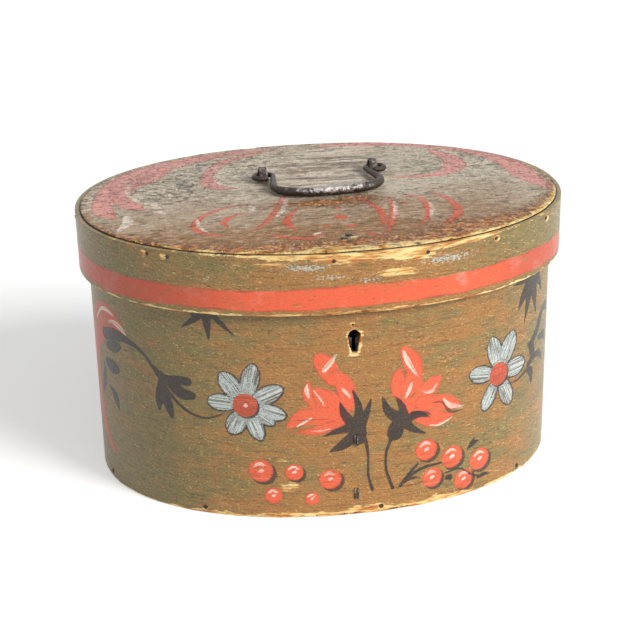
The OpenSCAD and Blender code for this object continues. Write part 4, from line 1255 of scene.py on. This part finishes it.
class BENTWOOD_OT_lid(bpy.types.Operator):
    """Lid board with its scrolls, raised grain and chipped edge"""
    bl_idname = "bentwood.lid"
    bl_label = "Lid board"

    def execute(self, context):
        sizes = context.scene.box_sizes
        t = np.linspace(0, TURN, BOARD_COLUMNS + 1)[:-1]
        s = np.interp(np.where(t < BACK - LAP_HALF, t + TURN, t), *arc_table(0))
        made, side = board_mesh((sizes.rim_thickness + sizes.board_fit) / MM, t, s)
        place = coordinates(made)
        x, y, z = place.T
        brush = Brushwork(place[:, :2])
        lid_strokes(brush)
        angle, radius = polar(brush.flat)
        side_angle, side_radius = polar(side)
        order = np.argsort(side_angle)
        arc = np.interp(angle, side_angle[order], s[order], period=360)
        inward = np.interp(angle, side_angle[order], side_radius[order], period=360) - radius
        inward = np.clip(inward, 0, None)
        front, right = front_share(arc, 30, 170), front_share(arc, 200, 35)
        wear = np.clip(1.1 - inward / (1.4 + 5 * front + 7 * right), 0, 1) \
            * (0.4 + 0.6 * front_share(arc, 60, 200) + 0.25 * right)
        burnt = np.clip(1 - inward / (10 + 22 * front), 0, 1) * (0.25 + 0.75 * front)
        store(made, brush, place + np.array([LID_GRAIN, 0, 0]), (z < BOARD_LOW_CORNER.z / MM + 0.5) * 1.0,
              wear=np.maximum(wear, patches(brush.flat, WORN_LID)),
              burnt=burnt + patches(brush.flat, BURNT_LID),
              weathered=patches(brush.flat, WEATHERED_LID),
              wrinkled=patches(brush.flat, WRINKLED_LID),
              browned=np.clip(0.22 - y / 120, 0, 0.95) * np.exp(-(x / 190) ** 6))
        set_vectors(made, "border", np.column_stack([arc, inward, z]))
        stand(made, painted_material("lid_paint", LID_COAT, 0.67), "lid", "painted_board", "lid_board")
        return {"FINISHED"}


def rounded_corner(before, corner, after, radius, steps):
    """Arc of a radius that touches both sides of a corner, as points."""
    a = (before - corner) / np.linalg.norm(before - corner)
    b = (after - corner) / np.linalg.norm(after - corner)
    half = math.acos(float(a @ b)) / 2
    centre = corner + (a + b) / np.linalg.norm(a + b) * radius / math.sin(half)
    start, finish = (corner + way * radius / math.tan(half) - centre for way in (a, b))
    first = math.atan2(start[1], start[0])
    sweep = (math.atan2(finish[1], finish[0]) - first + 3 * math.pi) % (2 * math.pi) - math.pi
    turn = first + sweep * np.linspace(0, 1, steps)
    return centre + radius * np.column_stack([np.cos(turn), np.sin(turn)])


# The bail: corners (along the axis, forwards, bend), wire radii, and where it stands on the lid. The eye ends
# and the arm begins at EYE_TOP, and the arm ends and the grip begins at ARM_TOP.
BAIL_CORNERS = [(0, 54.5, 0), (19.026, 54.1, 60), (45.3, 46.5, 18), (37.3, 0, 5.5), (53.3, 0, 5.5),
                (53.3, 11, 5.5), (42.8, 11, 0)]
EYE_R, ARM_R, GRIP_R = 2.2, 3.4, 4.0
EYE_TOP, ARM_TOP, GRIP_HALF = 11, 46.5, 45.3
HANDLE_PLACE, HANDLE_SKEW = (5, 43, 219.3), 4.5
WIRE_STEP, WIRE_SIDES, CORNER_STEPS = 0.9, 28, 14


def bail_radius(u, v):
    """Wire radius: thin at the eyes, thicker along the arms, full at the middle of the grip."""
    arm = EYE_R + (ARM_R - EYE_R) * np.clip((v - EYE_TOP) / (ARM_TOP - EYE_TOP), 0, 1)
    grip = ARM_R + (GRIP_R - ARM_R) * (1 - np.minimum(1, np.abs(u) / GRIP_HALF) ** 1.5)
    return np.where(v < EYE_TOP + 0.01, EYE_R, np.where(v < ARM_TOP, arm, grip))


class BENTWOOD_OT_handle(bpy.types.Operator):
    """Forged bail handle"""
    bl_idname = "bentwood.handle"
    bl_label = "Handle"

    def execute(self, context):
        """A circle carried along the bail's flat line, its radius dented a little as by a hammer."""
        bends = np.array(BAIL_CORNERS, float)
        half = [bends[:1, :2]]
        for i in range(1, len(bends) - 1):
            half.append(rounded_corner(*bends[i - 1:i + 2, :2], bends[i, 2], CORNER_STEPS))
        half = np.vstack(half + [bends[-1:, :2]])
        line = np.vstack([(half * [-1, 1])[:0:-1], half])
        steps = np.concatenate([[0], np.cumsum(np.linalg.norm(np.diff(line, axis=0), axis=1))])
        run = spaced(0, steps[-1], WIRE_STEP)
        line = np.column_stack([np.interp(run, steps, line[:, i]) for i in (0, 1)])
        ahead = np.gradient(line, axis=0)
        ahead /= np.linalg.norm(ahead, axis=1)[:, None]
        turn = np.arange(WIRE_SIDES) * 2 * math.pi / WIRE_SIDES
        along = run[:, None]
        dents = 0.5 + 0.25 * (np.sin(along / 3.1 + 2 * turn) + np.sin(along / 5.3 - 3 * turn + 1))
        radius = bail_radius(*line.T)[:, None] * (1 - 0.05 * dents)
        ease = np.minimum(1, np.minimum(along, run[-1] - along) / 1.6)
        radius = radius * np.sqrt(np.maximum(ease * (2 - ease), 0.02))
        aside = np.column_stack([-ahead[:, 1], ahead[:, 0]])[:, None]
        flat = line[:, None] + (radius * np.cos(turn))[..., None] * aside
        c, s = math.cos(math.radians(HANDLE_SKEW)), math.sin(math.radians(HANDLE_SKEW))
        x, y = flat[..., 0], -flat[..., 1]
        x0, y0, z0 = HANDLE_PLACE
        points = np.stack([x0 + x * c - y * s, y0 + x * s + y * c, z0 + radius * np.sin(turn)], -1)
        ring = np.arange(WIRE_SIDES)
        made = solid("bail", points.reshape(-1, 3), grid_quads(len(run), WIRE_SIDES, True),
                     [ring, ring[::-1] + (len(run) - 1) * WIRE_SIDES])
        # Brightest on the top of the grip's middle: partly polish from hands, partly a painted highlight
        worn = np.exp(-(line[:, 0] / 34) ** 2) * (line[:, 1] > 40)
        set_floats(made, "worn", (worn[:, None] * (0.55 + 0.45 * np.sin(turn))).ravel())
        stand(made, iron_material("worn_iron", True), "bail", "worn_iron", "handle")
        return {"FINISHED"}


def dressed(nodes, material, slot, bevel):
    """Copies of CAD nodes with their points merged and their edges rounded a little."""
    for node in nodes:
        source = frame["nodes"][node]
        mesh = source.data.copy()
        work = bmesh.new()
        work.from_mesh(mesh)
        bmesh.ops.remove_doubles(work, verts=work.verts, dist=1e-6)
        bmesh.ops.dissolve_limit(work, angle_limit=math.radians(0.5), verts=work.verts, edges=work.edges)
        work.to_mesh(mesh)
        work.free()
        made = new_object("soft_" + node, mesh)
        modifier = made.modifiers.new("edges", "BEVEL")
        modifier.width, modifier.segments, modifier.limit_method = bevel * MM, 2, "ANGLE"
        modifier.angle_limit, modifier.harden_normals = math.radians(35), True
        stand(made, material, source["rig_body"], slot, node)


class BENTWOOD_OT_ironwork(bpy.types.Operator):
    """Staples, hinges, nails, cramps and the lock"""
    bl_idname = "bentwood.ironwork"
    bl_label = "Ironwork"

    def execute(self, context):
        dressed(["hinge_staple_left", "hinge_staple_right", "handle_staple_left", "handle_staple_right",
                 "hinge_strap_left", "hinge_strap_right", "hinge_nails", "front_cramps", "lid_catch"],
                iron_material("forged_iron", False), "forged_iron", 0.22)
        # The lock inside the front wall takes the same iron at 0.3 of its brightness
        dressed(["lock_plate", "lock_case", "lock_bolt", "lock_nails", "lock_key_pin", "lock_ward",
                 "lock_spring"], iron_material("darker_iron", False, 0.3), "forged_iron", 0.22)
        return {"FINISHED"}


class BENTWOOD_OT_woodwork(bpy.types.Operator):
    """Bottom board, pegs and root lacing"""
    bl_idname = "bentwood.woodwork"
    bl_label = "Bottom board, pegs and lacing"

    def execute(self, context):
        tones = context.scene.iron_colours
        dressed(["bottom_board"], plain_wood_material("bottom_wood"), "bare_wood", 0.5)
        dressed(["bottom_pegs", "rim_pegs"], fibre_material("peg_wood", tones.peg, (1.1, 1.1, 1.1)),
                "pegs", 0.18)
        dressed(["body_lacing", "rim_lacing"], fibre_material("split_root", tones.root, (1.6, 1.6, 0.12)),
                "root", 0.3)
        return {"FINISHED"}


# Studio

CAMERA_AZIMUTH, CAMERA_HEIGHT, CAMERA_ROLL = math.radians(-7.73), math.radians(23.10), math.radians(-1.14)
CAMERA_DISTANCE, CAMERA_TARGET = 1.2574, (0, 0, 0.095)
CAMERA_LENS, CAMERA_SHIFT = 86.92, (-0.0034, 0.0197)
# Half the floor's width and how far it lies below the box, in millimetres
FLOOR_REACH, FLOOR_DROP = 6000, 0.2
WHITE = (1, 1, 1, 1)


def camera_axes():
    """Right, up and back directions of the photograph's camera, with its slight roll."""
    az, el = CAMERA_AZIMUTH, CAMERA_HEIGHT
    back = np.array([math.sin(az) * math.cos(el), -math.cos(az) * math.cos(el), math.sin(el)])
    right = np.array([math.cos(az), math.sin(az), 0])
    up = np.cross(back, right)
    c, s = math.cos(CAMERA_ROLL), math.sin(CAMERA_ROLL)
    return c * right + s * up, c * up - s * right, back


def posed(name, data, right, up, back, place):
    """A camera or a lamp with its axes along three directions and its origin at a place."""
    made = bpy.data.objects.new(name, data)
    bpy.context.scene.collection.objects.link(made)
    made.matrix_world = Matrix([[right[i], up[i], back[i], place[i]] for i in range(3)] + [[0, 0, 0, 1]])
    return made


def lamp(name, kind, place, **settings):
    """A lamp of a kind at a place, turned to the middle of the box."""
    data = bpy.data.lights.new(name, kind)
    for key, value in settings.items():
        setattr(data, key, value)
    back = np.array(place, float) - np.array([0, 0, 0.1])
    back /= np.linalg.norm(back)
    right = np.cross([0, 0, 1], back)
    right /= np.linalg.norm(right)
    posed(name, data, right, np.cross(back, right), back, place)


class BENTWOOD_OT_stage(bpy.types.Operator):
    """Camera, lamps, world and floor"""
    bl_idname = "bentwood.stage"
    bl_label = "Studio"

    def execute(self, context):
        scene, studio = context.scene, context.scene.studio_settings
        scene.view_settings.view_transform = "Standard"
        right, up, back = camera_axes()
        place = np.array(CAMERA_TARGET) + back * CAMERA_DISTANCE
        data = bpy.data.cameras.new("camera")
        data.sensor_width, data.lens = 36, CAMERA_LENS
        data.shift_x, data.shift_y = CAMERA_SHIFT
        scene.camera = posed("camera", data, right, up, back, place)
        lamp("key", "SUN", (1.35, -1.25, 1.2), energy=studio.key_strength, angle=math.radians(24))
        lamp("fill", "AREA", (0.1, -1.0, 1.6), shape="DISK", size=1.0, energy=studio.fill_power)

        world = bpy.data.worlds.new("studio_world")
        scene.world = world
        g = Graph(world)
        even = g.node("ShaderNodeBackground", None, {"Color": WHITE, "Strength": studio.world_level})
        seen = g.node("ShaderNodeBackground", None, {"Color": WHITE, "Strength": 1.0})
        g.end(g.node("ShaderNodeMixShader", None, {0: g.seen(), 1: even, 2: seen}), "ShaderNodeOutputWorld")

        g = Graph.material_named("floor_white")
        diffuse = g.node("ShaderNodeBsdfDiffuse", None, {"Color": (0.8, 0.8, 0.8, 1)})
        glow = g.node("ShaderNodeEmission", None, {"Color": WHITE, "Strength": studio.floor_lift})
        both = g.node("ShaderNodeAddShader", None, {0: diffuse, 1: glow})
        g.end(g.node("ShaderNodeMixShader", None, {0: g.seen(), 1: diffuse, 2: both}))
        steps = np.linspace(-FLOOR_REACH, FLOOR_REACH, 5)
        x, y = np.meshgrid(steps, steps)
        points = np.column_stack([x.ravel(), y.ravel(), np.full(x.size, -FLOOR_DROP)])
        quads = grid_quads(len(steps), len(steps), False)[:, ::-1]
        mesh = bpy.data.meshes.new("floor")
        mesh.from_pydata((points * MM).tolist(), [], quads.tolist())
        floor = new_object("floor", mesh)
        floor.data.materials.append(g.owner)
        return {"FINISHED"}


class BENTWOOD_PT_panel(bpy.types.Panel):
    """Lists the sizes, the colours and the steps"""
    bl_label = "Bentwood box"
    bl_idname = "BENTWOOD_PT_panel"
    bl_space_type = "VIEW_3D"
    bl_region_type = "UI"
    bl_category = "Bentwood box"

    def draw(self, context):
        layout = self.layout
        for name in SETTINGS:
            group = getattr(context.scene, name)
            for key in group.bl_rna.properties.keys():
                if key not in ("rna_type", "name"):
                    layout.prop(group, key)
        for step in STEPS:
            layout.operator(step.bl_idname)


SETTINGS = {"box_sizes": BoxSizes, "paint_colours": PaintColours, "iron_colours": IronColours,
            "studio_settings": StudioSettings}
STEPS = [BENTWOOD_OT_stage, BENTWOOD_OT_body, BENTWOOD_OT_rim, BENTWOOD_OT_lid, BENTWOOD_OT_handle,
         BENTWOOD_OT_ironwork, BENTWOOD_OT_woodwork]


def register():
    for cls in [*SETTINGS.values(), *STEPS, BENTWOOD_PT_panel]:
        bpy.utils.register_class(cls)
    for name, cls in SETTINGS.items():
        setattr(bpy.types.Scene, name, PointerProperty(type=cls))


def unregister():
    for name in SETTINGS:
        delattr(bpy.types.Scene, name)
    for cls in reversed([*SETTINGS.values(), *STEPS, BENTWOOD_PT_panel]):
        bpy.utils.unregister_class(cls)


def main():
    register()
    for step in STEPS:
        group, name = step.bl_idname.split(".")
        getattr(getattr(bpy.ops, group), name)()


if __name__ == "__main__":
    main()
